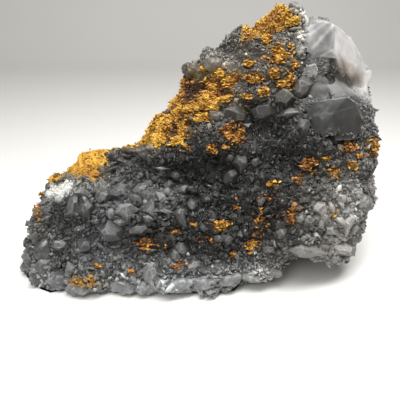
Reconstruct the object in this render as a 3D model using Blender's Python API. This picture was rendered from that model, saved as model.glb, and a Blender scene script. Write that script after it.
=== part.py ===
"""Realgar specimen: a wedge of dark crystalline matrix with calcite, orange-yellow crusts and clusters grown on it.

Lengths are in millimetres until a mesh is made, and the scene is in metres. +X is to the right of the show
face, which looks along -Y, and +Z is up. The origin is on the table, at the middle of the specimen's box.
"""

import itertools
import math

import bmesh
import bpy
import numpy as np
from mathutils import Euler, Matrix, Vector
from mathutils.bvhtree import BVHTree
from mathutils.geometry import delaunay_2d_cdt

MM = 0.001
GAP = 0.4  # left between two minerals that touch
ABOVE_TABLE = 0.3  # where crystals that would reach under the table are cut
FLAT = 0.5  # degrees between faces that count as one plane

# The wedge. Its outline is seen from the front; the middle of its thickness leans back as it rises.
OUTLINE_CENTRE = (20.0, 85.0)
OUTLINE = (
    (-188, -30), (96, -30), (110, 12), (119, 17), (150, 16), (166, 10), (173, 28), (172, 44), (186, 56),
    (191, 80), (187, 114), (186, 146), (178, 168), (166, 190), (150, 212), (132, 230), (114, 246),
    (97, 261), (82, 257), (62, 246), (38, 237), (12, 218), (-8, 204), (-18, 192), (-18, 180),
    (-34, 165), (-48, 152), (-48, 140), (-64, 126), (-94, 117), (-117, 110), (-143, 92), (-169, 79),
    (-176, 66), (-183, 44), (-192, 24), (-195, 4),
)
MIDDLE_AT_TABLE = 5.0
LEAN = 0.12  # how far the middle goes back for each millimetre up
HALF_AT_TABLE = 92.0
TAPER = 0.24  # how fast the half thickness shrinks with height
ROUNDNESS = 3.0  # 2 would be an ellipse in section and 8 nearly a box
SKIN_CELLS = (20, 9, 15)  # of the wedge's mesh, along X, Y and Z

# Relief of the broken faces: crowded flat-sided points of two sizes
COARSE_CELL, COARSE_HEIGHT = 48.0, 12.0
FINE_CELL, FINE_HEIGHT = 22.0, 7.0
RELIEF_LEVEL = 8.0  # taken off again, so that the outline keeps its size

# Swells and hollows of the show face: centre (x, z), half widths, height
LUMPS = (
    ((-128, 88), (30, 20), 9),
    ((-100, 72), (26, 14), -8),
    ((-58, 126), (36, 9), 8),
    ((-20, 112), (44, 12), -9),
    ((-60, 80), (40, 24), 6),
    ((54, 166), (30, 14), -13),
    ((40, 120), (44, 18), -7),
    ((100, 130), (40, 14), -7),
    ((128, 74), (44, 34), 10),
    ((0, 52), (60, 16), -4),
    ((-70, 22), (70, 16), 5),
    ((60, 205), (40, 26), 5),
)

# Calcite cleavage blocks of the upper right: centre, half sizes, turn about x, y and z, corners broken off
CALCITE_BLOCKS = (
    ((130, 27, 208), (28, 34, 24), (6, 43, 4), 6),
    ((122, 24, 225), (15, 26, 22), (-10, 38, -14), 5),
    ((142, 14, 187), (20, 28, 14), (12, 14, 14), 5),
    ((130, 4, 160), (28, 30, 18), (-8, -9, 10), 6),
    ((114, 6, 190), (13, 24, 18), (14, 30, -20), 5),
    ((114, 30, 241), (10, 17, 11), (8, 28, 14), 3),
)

# Places on the show face are given where they are seen from EYE, on a plane that leans back with the face:
# its y at the table, and how far it goes back for each millimetre up.
EYE = (3.0, -420.0, 280.0)
SHOW_AT_TABLE, SHOW_LEAN = -87.0, 0.36

# Grey crystals that stand out of the show face: centre (x, z), half width and height, turn in the face
SHOW_CRYSTALS = (
    ((-84, 67), (12, 10), 24), ((-65, 86), (11, 10), -18), ((-82, 84), (4, 6), 8), ((-118, 91), (7, 13), -14),
    ((-76, 95), (7, 5), 30), ((41, 126), (7, 9), 10), ((31, 115), (8, 10), -30), ((54, 129), (4, 5), 20),
    ((-31, 84), (9, 4), 8), ((-30, 101), (5, 6), 24), ((-26, 110), (7, 5), -16), ((-22, 118), (6, 6), 12),
    ((109, 50), (18, 6), 6), ((127, 69), (5, 8), -34), ((117, 88), (6, 5), 20), ((63, 95), (4, 6), 10),
    ((-43, 29), (9, 7), 14), ((-108, 19), (15, 8), 10), ((-75, 20), (13, 8), -8), ((-15, 20), (14, 7), 6),
    ((34, 21), (12, 6), -6), ((-146, 36), (9, 8), 12), ((-158, 42), (6, 8), 10), ((98, 155), (5, 8), 14),
    ((139, 78), (9, 9), 26), ((144, 49), (13, 10), -12), ((40, 172), (15, 11), 18), ((62, 166), (15, 12), -20),
    ((-58, 121), (17, 8), 22), ((-76, 124), (9, 6), 4), ((8, 70), (8, 6), -20), ((82, 72), (9, 7), 16),
    ((87, 169), (9, 9), 20), ((84, 184), (8, 10), -15), ((92, 153), (7, 6), 35), ((-146, 51), (12, 8), 34),
    ((72, 147), (6, 7), -12), ((-112, 54), (7, 5), 15), ((2, 96), (6, 5), -8), ((95, 253), (9, 7), 12),
)
BURIED_SHARE = 0.52  # how much of a crystal is inside the matrix
NOD, SWING = 12.0, 18.0  # degrees that the crystals of the show face differ in their tilt and their turn
BROKEN_AT = (0.66, 0.82)  # where a crystal's corner is broken off, as a share of its reach that way
SCATTERED_CRYSTALS = 54
SCATTERED_HALF = (5.0, 9.0)
CLEAR_OF_CLUSTER = 17.0  # no scattered crystal is set nearer than this to a cluster's middle
CLEAR_OF_TABLE = 12.0
LEAST_FACING = 0.5  # scattered crystals are set only where the face looks this much forwards or backwards

# Crusts: rim points (x, h) seen along CRUST_VIEW, with h measured up the slope that faces the viewer
CRUST_TILT = 40.0  # degrees that the crust's view looks down
CRUSTS = {
    "realgar_crust_left": (
        (-147, 68), (-120, 60), (-96, 58), (-86, 66), (-80, 84), (-70, 97), (-98, 106), (-124, 99), (-142, 86),
    ),
    "realgar_crust_slope": (
        (-66, 102), (-40, 98), (-10, 104), (8, 116), (24, 128), (38, 150), (32, 166), (12, 160), (-4, 168),
        (-16, 162), (-30, 140), (-46, 122),
    ),
    "realgar_crust_top": (
        (46, 186), (66, 190), (86, 195), (95, 203), (92, 215), (72, 214), (50, 204),
    ),
}
CRUST_RISE = 4.5
CRUST_ROOT = 4.0
CRUST_FADE = 9.0  # how far in from its rim a crust comes to its full thickness
CRUST_CELL = 7.0  # of the lattice that a crust is made on
CRUST_POINTS = 8.0  # size of the points that roughen it
CRUST_WOBBLE = 1.6  # of its rim
RIM_SHARE = 0.25  # how thick the rim is, as a share of the middle
SHARPEST = 4.0  # most that a sharp corner's pocket reaches out, in gaps

# Small realgar clusters on the show face: centre (x, z) and size
CLUSTERS = (
    ((75, 218), 8), ((76, 199), 7), ((63, 187), 6), ((53, 201), 6), ((35, 152), 11), ((73, 109), 6),
    ((105, 126), 8), ((126, 118), 7), ((145, 124), 6), ((-44, 56), 8), ((89, 82), 7), ((25, 73), 7),
    ((62, 77), 6), ((53, 55), 7), ((-105, 23), 8), ((137, 141), 7), ((165, 143), 7), ((128, 84), 5),
    ((15, 141), 5),
)
LARGE_CLUSTER = 8  # from this size up, a cluster has four times the faces

COLOURS = {
    "matrix": (0.085, 0.085, 0.085),
    "calcite": (0.46, 0.45, 0.43),
    "realgar": (0.55, 0.25, 0.03),
}


def clear_scene():
    for obj in list(bpy.data.objects):
        bpy.data.objects.remove(obj, do_unlink=True)


def finish(name, roughness):
    """A plain material in the mineral's colour."""
    made = bpy.data.materials.new(name)
    made.use_nodes = True
    shader = made.node_tree.nodes["Principled BSDF"]
    shader.inputs["Base Color"].default_value = (*COLOURS[name], 1)
    shader.inputs["Roughness"].default_value = roughness
    shader.inputs["Metallic"].default_value = 0.0
    return made


def new_object(name, mesh, material=None):
    obj = bpy.data.objects.new(name, mesh)
    bpy.context.scene.collection.objects.link(obj)
    if material:
        mesh.materials.append(material)
    return obj


def mesh_of(name, points, faces):
    """A mesh in metres from points in millimetres."""
    mesh = bpy.data.meshes.new(name)
    mesh.from_pydata((np.asarray(points) * MM).tolist(), [], np.asarray(faces).tolist())
    mesh.update()
    return mesh


def scramble(cells, salt):
    """A number from 0 to 1 for each whole-numbered cell, the same each time for one cell and salt."""
    c = cells.astype(np.int64)
    mixed = (c[..., 0] * 73856093) ^ (c[..., 1] * 19349663) ^ (c[..., 2] * 83492791) ^ (salt * 40503)
    mixed = (mixed & 0xFFFFFFFF).astype(np.uint64)
    for _ in range(2):
        mixed = ((mixed ^ (mixed >> np.uint64(16))) * np.uint64(0x45D9F3B)) & np.uint64(0xFFFFFFFF)
    mixed ^= mixed >> np.uint64(16)
    return mixed.astype(float) / 2**32


def crowded_points(points, cell, salt):
    """Relief from 0 to 1 of flat-sided points that crowd together. Each cell of a lattice holds one octahedral
    pyramid, tilted its own way, whose height falls off with |a|+|b|+|c| along its three axes; the highest
    near a place shows."""
    q = points / cell
    home = np.floor(q)
    highest = np.zeros(len(points))
    for offset in itertools.product((-1, 0, 1), repeat=3):
        at = home + np.array(offset)
        centre = at + 0.15 + 0.7 * np.stack([scramble(at, salt + k) for k in range(3)], -1)
        yaw = 2 * np.pi * scramble(at, salt + 3)
        tilt = np.pi * scramble(at, salt + 4)
        away = q - centre
        cy, sy, ct, st = np.cos(yaw), np.sin(yaw), np.cos(tilt), np.sin(tilt)
        first = away[:, 0] * cy * ct + away[:, 1] * sy * ct + away[:, 2] * st
        second = -away[:, 0] * sy + away[:, 1] * cy
        third = -away[:, 0] * cy * st - away[:, 1] * sy * st + away[:, 2] * ct
        reach = 0.95 + 0.35 * scramble(at, salt + 5)
        highest = np.maximum(highest, 1 - (abs(first) + abs(second) + abs(third)) / reach)
    return highest


def box_skin(counts):
    """Lattice points on the skin of a block of counts cells, and its four-sided faces, wound outwards."""
    sides = []
    for axis in range(3):
        a, b = (axis + 1) % 3, (axis + 2) % 3
        i, j = np.meshgrid(np.arange(counts[a]), np.arange(counts[b]), indexing="ij")
        for level in (0, counts[axis]):
            corners = []
            for di, dj in ((0, 0), (1, 0), (1, 1), (0, 1)):
                p = np.empty((*i.shape, 3), int)
                p[..., axis], p[..., a], p[..., b] = level, i + di, j + dj
                corners.append(p.reshape(-1, 3))
            side = np.stack(corners, 1)
            sides.append(side if level else side[:, ::-1])
    quads = np.concatenate(sides)
    lattice, index = np.unique(quads.reshape(-1, 3), axis=0, return_inverse=True)
    return lattice, index.reshape(-1, 4)


def outline_radius(angle):
    """Distance from the outline's centre to the outline, at each angle: where the ray meets its straight side."""
    rim = np.array(OUTLINE, float) - OUTLINE_CENTRE
    bearing = np.arctan2(rim[:, 1], rim[:, 0])
    order = np.argsort(bearing)
    rim, bearing = rim[order], bearing[order]
    start = np.searchsorted(bearing, angle) - 1  # -1 wraps to the last side
    p = rim[start]
    e = rim[(start + 1) % len(rim)] - p
    d = np.stack([np.cos(angle), np.sin(angle)], -1)
    return (p[:, 0] * e[:, 1] - p[:, 1] * e[:, 0]) / (d[:, 0] * e[:, 1] - d[:, 1] * e[:, 0])


def outward(points, quads):
    """Unit normals of the points: the sum of the faces round each."""
    p = points[quads]
    face = np.cross(p[:, 2] - p[:, 0], p[:, 3] - p[:, 1])
    total = np.zeros_like(points)
    for corner in range(4):
        np.add.at(total, quads[:, corner], face)
    return total / np.linalg.norm(total, axis=1, keepdims=True)


def lump_height(x, z):
    total = np.zeros(len(x))
    for (lx, lz), (wide, tall), height in LUMPS:
        total += height * np.exp(-((x - lx) / wide) ** 2 - ((z - lz) / tall) ** 2)
    return total


def wedge_skin(counts):
    """The wedge as points and faces. A point of a block's skin is drawn in to |(u, w)|^n + |v|^n = 1; (u, w) then
    fills the outline and v the thickness. The relief pushes it along its normal, and the table cuts it flat."""
    lattice, quads = box_skin(counts)
    u, v, w = (2 * lattice / np.array(counts) - 1).T
    radius = np.hypot(u, w)
    shrink = (radius**ROUNDNESS + abs(v) ** ROUNDNESS) ** (1 / ROUNDNESS)
    u, v, w = u / shrink, v / shrink, w / shrink
    reach = outline_radius(np.arctan2(w, u))
    x = OUTLINE_CENTRE[0] + reach * u
    z = OUTLINE_CENTRE[1] + reach * w
    y = MIDDLE_AT_TABLE + LEAN * z + v * (HALF_AT_TABLE - TAPER * z)
    points = np.stack([x, y, z], -1)
    normals = outward(points, quads)
    height = COARSE_HEIGHT * crowded_points(points, COARSE_CELL, 11)
    height += FINE_HEIGHT * crowded_points(points, FINE_CELL, 29) - RELIEF_LEVEL
    height += lump_height(x, z) * np.clip(-1.4 * normals[:, 1], 0, 1)
    points = points + normals * height[:, None]
    points[:, 2] = np.maximum(points[:, 2], 0)
    return points, quads


def slice_off(bm, place, outward_way):
    """Cuts a convex bmesh flat at a plane, and closes the cut."""
    everything = bm.verts[:] + bm.edges[:] + bm.faces[:]
    cut = bmesh.ops.bisect_plane(bm, geom=everything, plane_co=place, plane_no=outward_way, clear_outer=True)
    edges = [g for g in cut["geom_cut"] if isinstance(g, bmesh.types.BMEdge)]
    if edges:
        bmesh.ops.edgeloop_fill(bm, edges=edges)


def broken_block(centre, half, turn, corners, seed, grow=0.0):
    """A cleavage block as a bmesh: a box whose corners are broken off flat. Every face stands out by grow."""
    rng = np.random.default_rng(seed)
    bm = bmesh.new()
    bmesh.ops.create_cube(bm, size=2.0)
    bmesh.ops.scale(bm, vec=[h + grow for h in half], verts=bm.verts)
    for _ in range(corners):
        sign = np.where(rng.random(3) < 0.5, -1.0, 1.0)
        lean = sign * rng.uniform(0.35, 1.35, 3) / np.array(half)
        plane = lean / np.linalg.norm(lean)
        depth = float(np.abs(plane * half).sum()) * rng.uniform(*BROKEN_AT)
        slice_off(bm, plane * (depth + grow), plane)
    place = Matrix.Translation(Vector(centre)) @ Euler([math.radians(a) for a in turn]).to_matrix().to_4x4()
    bm.transform(place)
    slice_off(bm, Vector((0, 0, ABOVE_TABLE)), Vector((0, 0, -1)))
    bm.transform(Matrix.Scale(MM, 4))
    bmesh.ops.recalc_face_normals(bm, faces=bm.faces)
    return bm


def object_of(name, bm, material=None):
    mesh = bpy.data.meshes.new(name)
    bm.to_mesh(mesh)
    bm.free()
    return new_object(name, mesh, material)


def combined(obj, others, operation):
    """obj joined with or cut by every object of others, which go; loose chips that a cut leaves go too."""
    tools = bpy.data.collections.new("tools")
    bpy.context.scene.collection.children.link(tools)
    for other in others:
        tools.objects.link(other)
    boolean = obj.modifiers.new("combine", "BOOLEAN")
    boolean.operand_type = "COLLECTION"
    boolean.collection = tools
    boolean.operation = operation
    bpy.context.view_layer.update()
    done = bpy.data.meshes.new_from_object(obj.evaluated_get(bpy.context.evaluated_depsgraph_get()))
    obj.modifiers.clear()
    obj.data = done
    for other in others:
        bpy.data.objects.remove(other, do_unlink=True)
    bpy.data.collections.remove(tools)
    drop_chips(obj.data)
    return obj


def drop_chips(mesh):
    """Joins faces that lie in one plane, and keeps the largest of a mesh's separate bodies, which are the faces
    that meet two at an edge."""
    bm = bmesh.new()
    bm.from_mesh(mesh)
    bmesh.ops.dissolve_limit(bm, angle_limit=math.radians(FLAT), verts=bm.verts, edges=bm.edges)
    bmesh.ops.triangulate(bm, faces=bm.faces)
    left, bodies = set(bm.faces), []
    while left:
        body, rim = set(), {left.pop()}
        while rim:
            body |= rim
            rim = {f for face in rim for e in face.edges if len(e.link_faces) == 2 for f in e.link_faces} - body
        left -= body
        bodies.append(body)
    largest = max(bodies, key=len)
    bmesh.ops.delete(bm, geom=[f for f in bm.faces if f not in largest], context="FACES")
    bm.to_mesh(mesh)
    bm.free()


def surface_at(tree, x, z):
    """Where the surface is seen behind (x, z) of the show face's plane, and its normal, in millimetres."""
    sight = Vector((x, SHOW_AT_TABLE + SHOW_LEAN * z, z)) - Vector(EYE)
    place, normal, _, _ = tree.ray_cast(Vector(EYE) * MM, sight.normalized())
    return (np.array(place) / MM, np.array(normal)) if place else (None, None)


def show_crystals(tree):
    """The grey crystals that stand out of the show face, sunk to their share."""
    made = []
    for number, ((x, z), (wide, tall), turn) in enumerate(SHOW_CRYSTALS):
        place, normal = surface_at(tree, x, z)
        if place is None:
            continue
        half = (wide, 0.8 * min(wide, tall) + 2, tall)
        centre = place + normal * half[1] * (1 - 2 * BURIED_SHARE)
        facing = (NOD * math.sin(2.1 * number), turn, SWING * math.cos(1.7 * number))
        made.append(object_of("crystal", broken_block(centre, half, facing, 5, 100 + number)))
    return made


def under_minerals(places):
    """Which places a crust, the calcite or a cluster takes, so that no loose crystal is set there."""
    x, y, z = places.T
    calcite = (x > 78) & (z > 135)
    left_crust = (abs(x + 118) < 42) & (z > 76) & (y < 45)
    upper_crusts = (z > 148 + 0.8 * x) & (x > -97) & (x < 110) & (y < 30)
    clusters = [np.hypot(x - cx, z - cz) < CLEAR_OF_CLUSTER for (cx, cz), _ in CLUSTERS]
    return calcite | left_crust | upper_crusts | (np.any(clusters, 0) & (y < 0))


def scattered_crystals(points, quads):
    """More crystals all round the wedge, at places drawn by the area of the faces."""
    rng = np.random.default_rng(7)
    corners = points[quads]
    area = np.linalg.norm(np.cross(corners[:, 2] - corners[:, 0], corners[:, 3] - corners[:, 1]), axis=1)
    middle = corners.mean(1)
    normals = outward(points, quads)[quads].mean(1)
    taken = under_minerals(middle) | (abs(normals[:, 1]) < LEAST_FACING)
    area[(middle[:, 2] < CLEAR_OF_TABLE) | taken] = 0
    made = []
    for number, face in enumerate(rng.choice(len(quads), SCATTERED_CRYSTALS, replace=False, p=area / area.sum())):
        half = rng.uniform(*SCATTERED_HALF) * rng.uniform(0.6, 1.0, 3)
        centre = middle[face] + normals[face] * half.min() * (1 - 2 * BURIED_SHARE)
        turn = rng.uniform(-180, 180, 3)
        made.append(object_of("crystal", broken_block(centre, half, turn, 3, 500 + number)))
    return made


def calcite_blocks(grow=0.0):
    return [
        object_of("calcite_block", broken_block(centre, half, turn, corners, 40 + number, grow))
        for number, (centre, half, turn, corners) in enumerate(CALCITE_BLOCKS)
    ]


def rim_distance(points, rim):
    """How far each point is from the nearest side of the rim."""
    sides = np.roll(rim, -1, 0) - rim
    away = points[:, None] - rim
    along = np.clip((away * sides).sum(-1) / (sides**2).sum(-1), 0, 1)
    return np.linalg.norm(away - along[..., None] * sides, axis=-1).min(1)


def crust_plan(rim):
    """A crust's points (x, h) and triangles: its uneven rim, and a jittered lattice inside."""
    rim = np.array(rim, float)
    edge = []
    for start, end in zip(rim, np.roll(rim, -1, 0)):
        steps = max(1, round(np.linalg.norm(end - start) / CRUST_CELL))
        edge += [start + (end - start) * step / steps for step in range(steps)]
    edge = np.array(edge)
    number = np.arange(len(edge))
    edge += CRUST_WOBBLE * np.stack([np.sin(5.3 * number), np.cos(7.9 * number)], -1)
    low, high = edge.min(0), edge.max(0)
    i, j = np.meshgrid(*(np.arange(a // CRUST_CELL, b // CRUST_CELL + 1) for a, b in zip(low, high)))
    cells = np.stack([i.ravel(), j.ravel(), 0 * i.ravel()], -1)
    jitter = np.stack([scramble(cells, salt) for salt in (71, 72)], -1)
    inner = (cells[:, :2] + 0.5 * (cells[:, 1:2] % 2) * (1, 0) + 0.6 * jitter) * CRUST_CELL
    inner = inner[rim_distance(inner, edge) > 0.55 * CRUST_CELL]
    flat = [Vector(point) for point in np.concatenate([edge, inner])]
    points, _, triangles, _, _, _ = delaunay_2d_cdt(flat, [], [list(range(len(edge)))], 1, 1e-4)
    used = sorted({corner for triangle in triangles for corner in triangle})
    place = {corner: number for number, corner in enumerate(used)}
    return np.array([points[corner] for corner in used]), [[place[c] for c in t] for t in triangles], edge


def crust(name, tree, rim, material):
    """A crust as a closed sheet of two layers. Both follow the matrix under them: the upper one stands clear of it
    in points, the lower one is its root, and they draw together at the rim."""
    tilt = math.radians(CRUST_TILT)
    sight = np.array([0, math.cos(tilt), -math.sin(tilt)])
    upslope = np.array([0, math.sin(tilt), math.cos(tilt)])
    flat, triangles, edge = crust_plan(rim)
    base = np.array([under(tree, x, h, sight, upslope) for x, h in flat])
    fade = RIM_SHARE + (1 - RIM_SHARE) * np.clip(rim_distance(flat, edge) / CRUST_FADE, 0, 1)
    rise = CRUST_RISE * fade * (0.45 + 1.3 * crowded_points(base, CRUST_POINTS, 61))
    upper = base - sight * rise[:, None]
    lower = base + sight * (CRUST_ROOT * fade)[:, None]
    count = len(base)
    sides = {(t[k], t[(k + 1) % 3]) for t in triangles for k in range(3)}
    faces = triangles + [(c + count, b + count, a + count) for a, b, c in triangles]
    for a, b in sorted(sides):
        if (b, a) not in sides:
            faces += [(b, a, a + count), (b, a + count, b + count)]
    return new_object(name, mesh_of(name, np.concatenate([upper, lower]), faces), material)


def under(tree, x, h, sight, upslope):
    """The matrix's surface under the place (x, h) of a crust's view."""
    start = np.array([x, 0, 0]) + h * upslope - 600 * sight
    place, _, _, _ = tree.ray_cast(Vector(start * MM), Vector(sight))
    if place is None:
        place, _, _, _ = tree.find_nearest(Vector((np.array([x, 0, 0]) + h * upslope) * MM))
    return np.array(place) / MM


def cluster(name, tree, centre, size, seed, material):
    """A small clump of realgar: a ball of flat faces whose corners stand in and out, half sunk in the matrix."""
    rng = np.random.default_rng(seed)
    place, normal = surface_at(tree, *centre)
    bm = bmesh.new()
    bmesh.ops.create_icosphere(bm, subdivisions=2 if size >= LARGE_CLUSTER else 1, radius=1.0)
    stretch = rng.uniform(0.75, 1.15, 3)
    for vert in bm.verts:
        reach = size * rng.uniform(0.72, 1.12)
        vert.co = Vector(np.array(vert.co.normalized()) * reach * stretch)
    bm.transform(Matrix.Scale(MM, 4) @ Matrix.Translation(Vector(place - normal * size * 0.25)))
    return object_of(name, bm, material)


def pocket_round(obj):
    """The space that obj takes in the matrix: its own shape, with every face moved out by the gap."""
    bm = bmesh.new()
    bm.from_mesh(obj.data)
    bm.normal_update()
    moves = [(v, v.normal * GAP * MM * min(v.calc_shell_factor(), SHARPEST)) for v in bm.verts]
    for vert, move in moves:
        vert.co += move
    return object_of("pocket", bm)


def centre_box(pieces):
    """Moves the pieces level, so that the middle of the box round them all is over the origin."""
    corners = np.array([vert.co for piece in pieces for vert in piece.data.vertices])
    middle = (corners.min(0) + corners.max(0)) / 2
    for piece in pieces:
        piece.data.transform(Matrix.Translation((-middle[0], -middle[1], 0)))


def main():
    clear_scene()
    matrix_finish = finish("matrix", 0.55)
    calcite_finish = finish("calcite", 0.3)
    realgar_finish = finish("realgar", 0.6)

    points, quads = wedge_skin(SKIN_CELLS)
    matrix = new_object("matrix", mesh_of("matrix", points, quads), matrix_finish)
    body = bmesh.new()
    body.from_mesh(matrix.data)
    bmesh.ops.triangulate(body, faces=body.faces)
    tree = BVHTree.FromBMesh(body)
    body.free()

    combined(matrix, show_crystals(tree) + scattered_crystals(points, quads), "UNION")

    blocks = calcite_blocks()
    calcite = combined(blocks[0], blocks[1:], "UNION")
    calcite.name = "calcite_mass"
    calcite.data.materials.append(calcite_finish)

    grown = [crust(name, tree, rim, realgar_finish) for name, rim in CRUSTS.items()]
    for number, (centre, size) in enumerate(CLUSTERS):
        grown.append(cluster(f"realgar_cluster_{number + 1:02d}", tree, centre, size, 300 + number, realgar_finish))
    combined(matrix, calcite_blocks(GAP) + [pocket_round(obj) for obj in grown], "DIFFERENCE")
    centre_box([matrix, calcite] + grown)


main()
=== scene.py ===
"""Looks of the realgar specimen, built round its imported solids.

Lengths are in millimetres, in the frame that the wedge is drawn in, until a mesh is made. FRAME_SHIFT then moves
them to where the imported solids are. +X is to the right of the show face, which looks along -Y, and +Z is up.
Places on the show face are pixels of the camera's frame, counted right and down from its corner.
"""

import itertools
import math

import bpy
import numpy as np
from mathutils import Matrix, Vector
from mathutils.bvhtree import BVHTree


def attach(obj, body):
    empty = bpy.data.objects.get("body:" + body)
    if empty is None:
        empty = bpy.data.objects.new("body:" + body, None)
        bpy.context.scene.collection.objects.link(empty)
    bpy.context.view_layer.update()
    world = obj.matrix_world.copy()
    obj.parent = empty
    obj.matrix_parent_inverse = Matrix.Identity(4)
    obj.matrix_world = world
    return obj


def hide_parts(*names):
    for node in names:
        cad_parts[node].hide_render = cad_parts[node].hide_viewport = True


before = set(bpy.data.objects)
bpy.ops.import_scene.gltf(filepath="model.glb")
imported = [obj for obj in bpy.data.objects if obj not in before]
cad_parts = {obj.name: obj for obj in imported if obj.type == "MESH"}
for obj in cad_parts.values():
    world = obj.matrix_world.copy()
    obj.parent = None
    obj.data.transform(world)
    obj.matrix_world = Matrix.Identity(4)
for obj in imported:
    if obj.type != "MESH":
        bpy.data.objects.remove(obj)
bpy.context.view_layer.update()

MM = 0.001
FRAME_SHIFT = np.array([1.906, -3.302, 0.0])
TINY = 1e-9  # keeps a length or a share from being divided by nothing

# The camera
EYE = np.array([3.0, -420.0, 280.0])
LOOK_DOWN = math.radians(26.7)
AHEAD = np.array([0, math.cos(LOOK_DOWN), -math.sin(LOOK_DOWN)])
ABOVE = np.array([0, math.sin(LOOK_DOWN), math.cos(LOOK_DOWN)])
RIGHT = np.array([1.0, 0, 0])
FRAME_PX = 400
FOCAL_PX = 434
SENSOR = 36.0

# The wedge, as its solid is made
OUTLINE_CENTRE = np.array([20.0, 85.0])
OUTLINE = (
    (-188, -30), (96, -30), (110, 12), (119, 17), (150, 16), (166, 10), (173, 28), (172, 44), (186, 56),
    (191, 80), (187, 114), (186, 146), (178, 168), (166, 190), (150, 212), (132, 230), (114, 246),
    (97, 261), (82, 257), (62, 246), (38, 237), (12, 218), (-8, 204), (-18, 192), (-18, 180),
    (-34, 165), (-48, 152), (-48, 140), (-64, 126), (-94, 117), (-117, 110), (-143, 92), (-169, 79),
    (-176, 66), (-183, 44), (-192, 24), (-195, 4),
)
MIDDLE_AT_TABLE, LEAN = 5.0, 0.12
HALF_AT_TABLE, TAPER = 92.0, 0.24
ROUNDNESS = 3.0
LUMPS = (
    ((-128, 88), (30, 20), 9), ((-100, 72), (26, 14), -8), ((-58, 126), (36, 9), 8),
    ((-20, 112), (44, 12), -9), ((-60, 80), (40, 24), 6), ((54, 166), (30, 14), -13),
    ((40, 120), (44, 18), -7), ((100, 130), (40, 14), -7), ((128, 74), (44, 34), 10),
    ((0, 52), (60, 16), -4), ((-70, 22), (70, 16), 5), ((60, 205), (40, 26), 5),
)
COARSE_RELIEF = ((48.0, 12.0, 11), (22.0, 7.0, 29))  # size of the points, their height, salt
RELIEF_LEVEL = 8.0
FINE_RELIEF = ((11.0, 3.2, 47), (6.0, 1.8, 53))
POINT_FROM, POINT_ROOM = 0.15, 0.7  # where in its cell the middle of a point of the relief can be
POINT_REACH, REACH_SPREAD = 0.95, 0.35  # how far a point reaches, in cells
MEAN_POINT = 0.4  # mean of the relief's points, taken off so that the wedge keeps its size
SKIN_CELLS = (160, 70, 120)
SHOW_AT_TABLE, SHOW_LEAN = -87.0, 0.36  # the leaning plane of the show face
FRONT_BLEND = 30  # how wide the change from front to back is
SWELL_FACING = 1.4  # how soon the swells and hollows end where the body turns from the front
GRAIN_ROOM = 2.0  # how far the body is sunk to leave room for the grains on it
# Where the body gives way or swells: middle and half widths in x and z, and how far it moves, along y only on its
# front
DENTS = (
    ((-166, 82), (18, 16), (2, 0, -6)), ((-192, 30), (16, 40), (3, 0, 0)), ((92, 0), (26, 20), (0, 22, 3)),
    ((60, 0), (22, 12), (0, 8, 0)), ((-75, 127), (15, 13), (1, 0, -9)), ((-56, 141), (11, 13), (2, 0, -9)),
    ((-51, 152), (8, 9), (3, 0, -5)),
    ((-37, 162), (14, 15), (3, 0, -8)), ((-17, 190), (7, 8), (4, 0, -3)), ((38, 238), (14, 12), (-1, 0, 8)),
    ((6, 212), (12, 12), (-3, 0, 9)), ((188, 46), (14, 17), (-13, 0, 0)), ((172, 72), (12, 12), (-6, 0, 0)),
    ((-80, 114), (14, 11), (1, 0, -7)),
)

# Spots of the show face where the camera sees them: middle, half widths, how much is added there
MATRIX_TONE = 0.455
# (68, 212), (135, 163), (185, 84) and (320, 150) are partly darker rock and partly painted shade under
# Besides the rock's own tone, these spots hold painted light and shade: the white patch at (53, 187) is a
# along the foot at (150, 286) is partly a painted veil of light; the dark spots at (265, 120), (235, 165),
# overhangs and in hollows.
# painted glint, the paler spot at (212, 62) is partly painted light on the upward slope, and the pale band
TONE_AND_LIGHT_SPOTS = (
    ((345, 215), (42, 34), 0.19), ((360, 180), (20, 24), 0.12), ((212, 62), (38, 26), 0.1),
    ((265, 120), (36, 20), -0.34), ((235, 165), (75, 24), -0.67), ((68, 212), (14, 12), -0.3),
    ((135, 163), (30, 10), -0.05), ((53, 187), (17, 9), 1.3), ((150, 286), (130, 10), 0.27),
    ((302, 10), (14, 12), 0.3), ((40, 262), (14, 22), 0.22), ((250, 270), (50, 9), 0.22),
    ((376, 182), (6, 14), 0.16), ((250, 215), (60, 22), -0.39), ((160, 222), (40, 16), -0.17),
    ((185, 84), (10, 12), -0.2), ((210, 246), (50, 16), -0.26), ((298, 56), (8, 12), 0.08),
    ((330, 250), (34, 14), 0.26), ((110, 240), (50, 16), -0.12), ((303, 30), (7, 24), 0.34),
    ((330, 68), (10, 10), -0.16), ((320, 150), (30, 10), -0.16), ((366, 112), (10, 10), 0.16),
)
# Where the body between the grains is paler than elsewhere, with less painted shade in the gaps
BODY_SPOTS = (((345, 215), (44, 40), 0.22), ((130, 205), (60, 26), 0.08))
SIZE_SPOTS = (
    ((130, 205), (56, 26), 0.7), ((250, 62), (64, 44), -0.32), ((322, 218), (36, 36), 0.55),
    ((110, 255), (60, 14), -0.1), ((150, 286), (130, 10), 0.4), ((255, 165), (60, 22), -0.15),
    ((60, 188), (22, 10), -0.35), ((190, 195), (40, 24), 0.3), ((376, 208), (5, 7), -0.25),
)
WARM_SPOTS = (
    ((260, 70), (70, 50), 0.4), ((100, 240), (90, 40), -0.3), ((150, 288), (140, 14), -0.3),
    ((300, 180), (60, 30), 0.15), ((230, 150), (60, 26), 0.15),
)
DUST_SPOTS = (
    ((196, 72), (18, 9), 0.75), ((262, 70), (36, 30), 0.16), ((307, 9), (8, 9), -0.8),
    ((372, 146), (12, 10), 0.35), ((48, 175), (10, 5), 0.25), ((38, 205), (5, 22), 0.35),
    ((300, 190), (60, 40), 0.1), ((231, 140), (24, 14), 0.2),
)
TONE_SPREAD = 0.065
RIM_LIGHT = 0.09  # how much paler a crystal is painted at its thin rim than in its middle, as light through the rim
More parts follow.
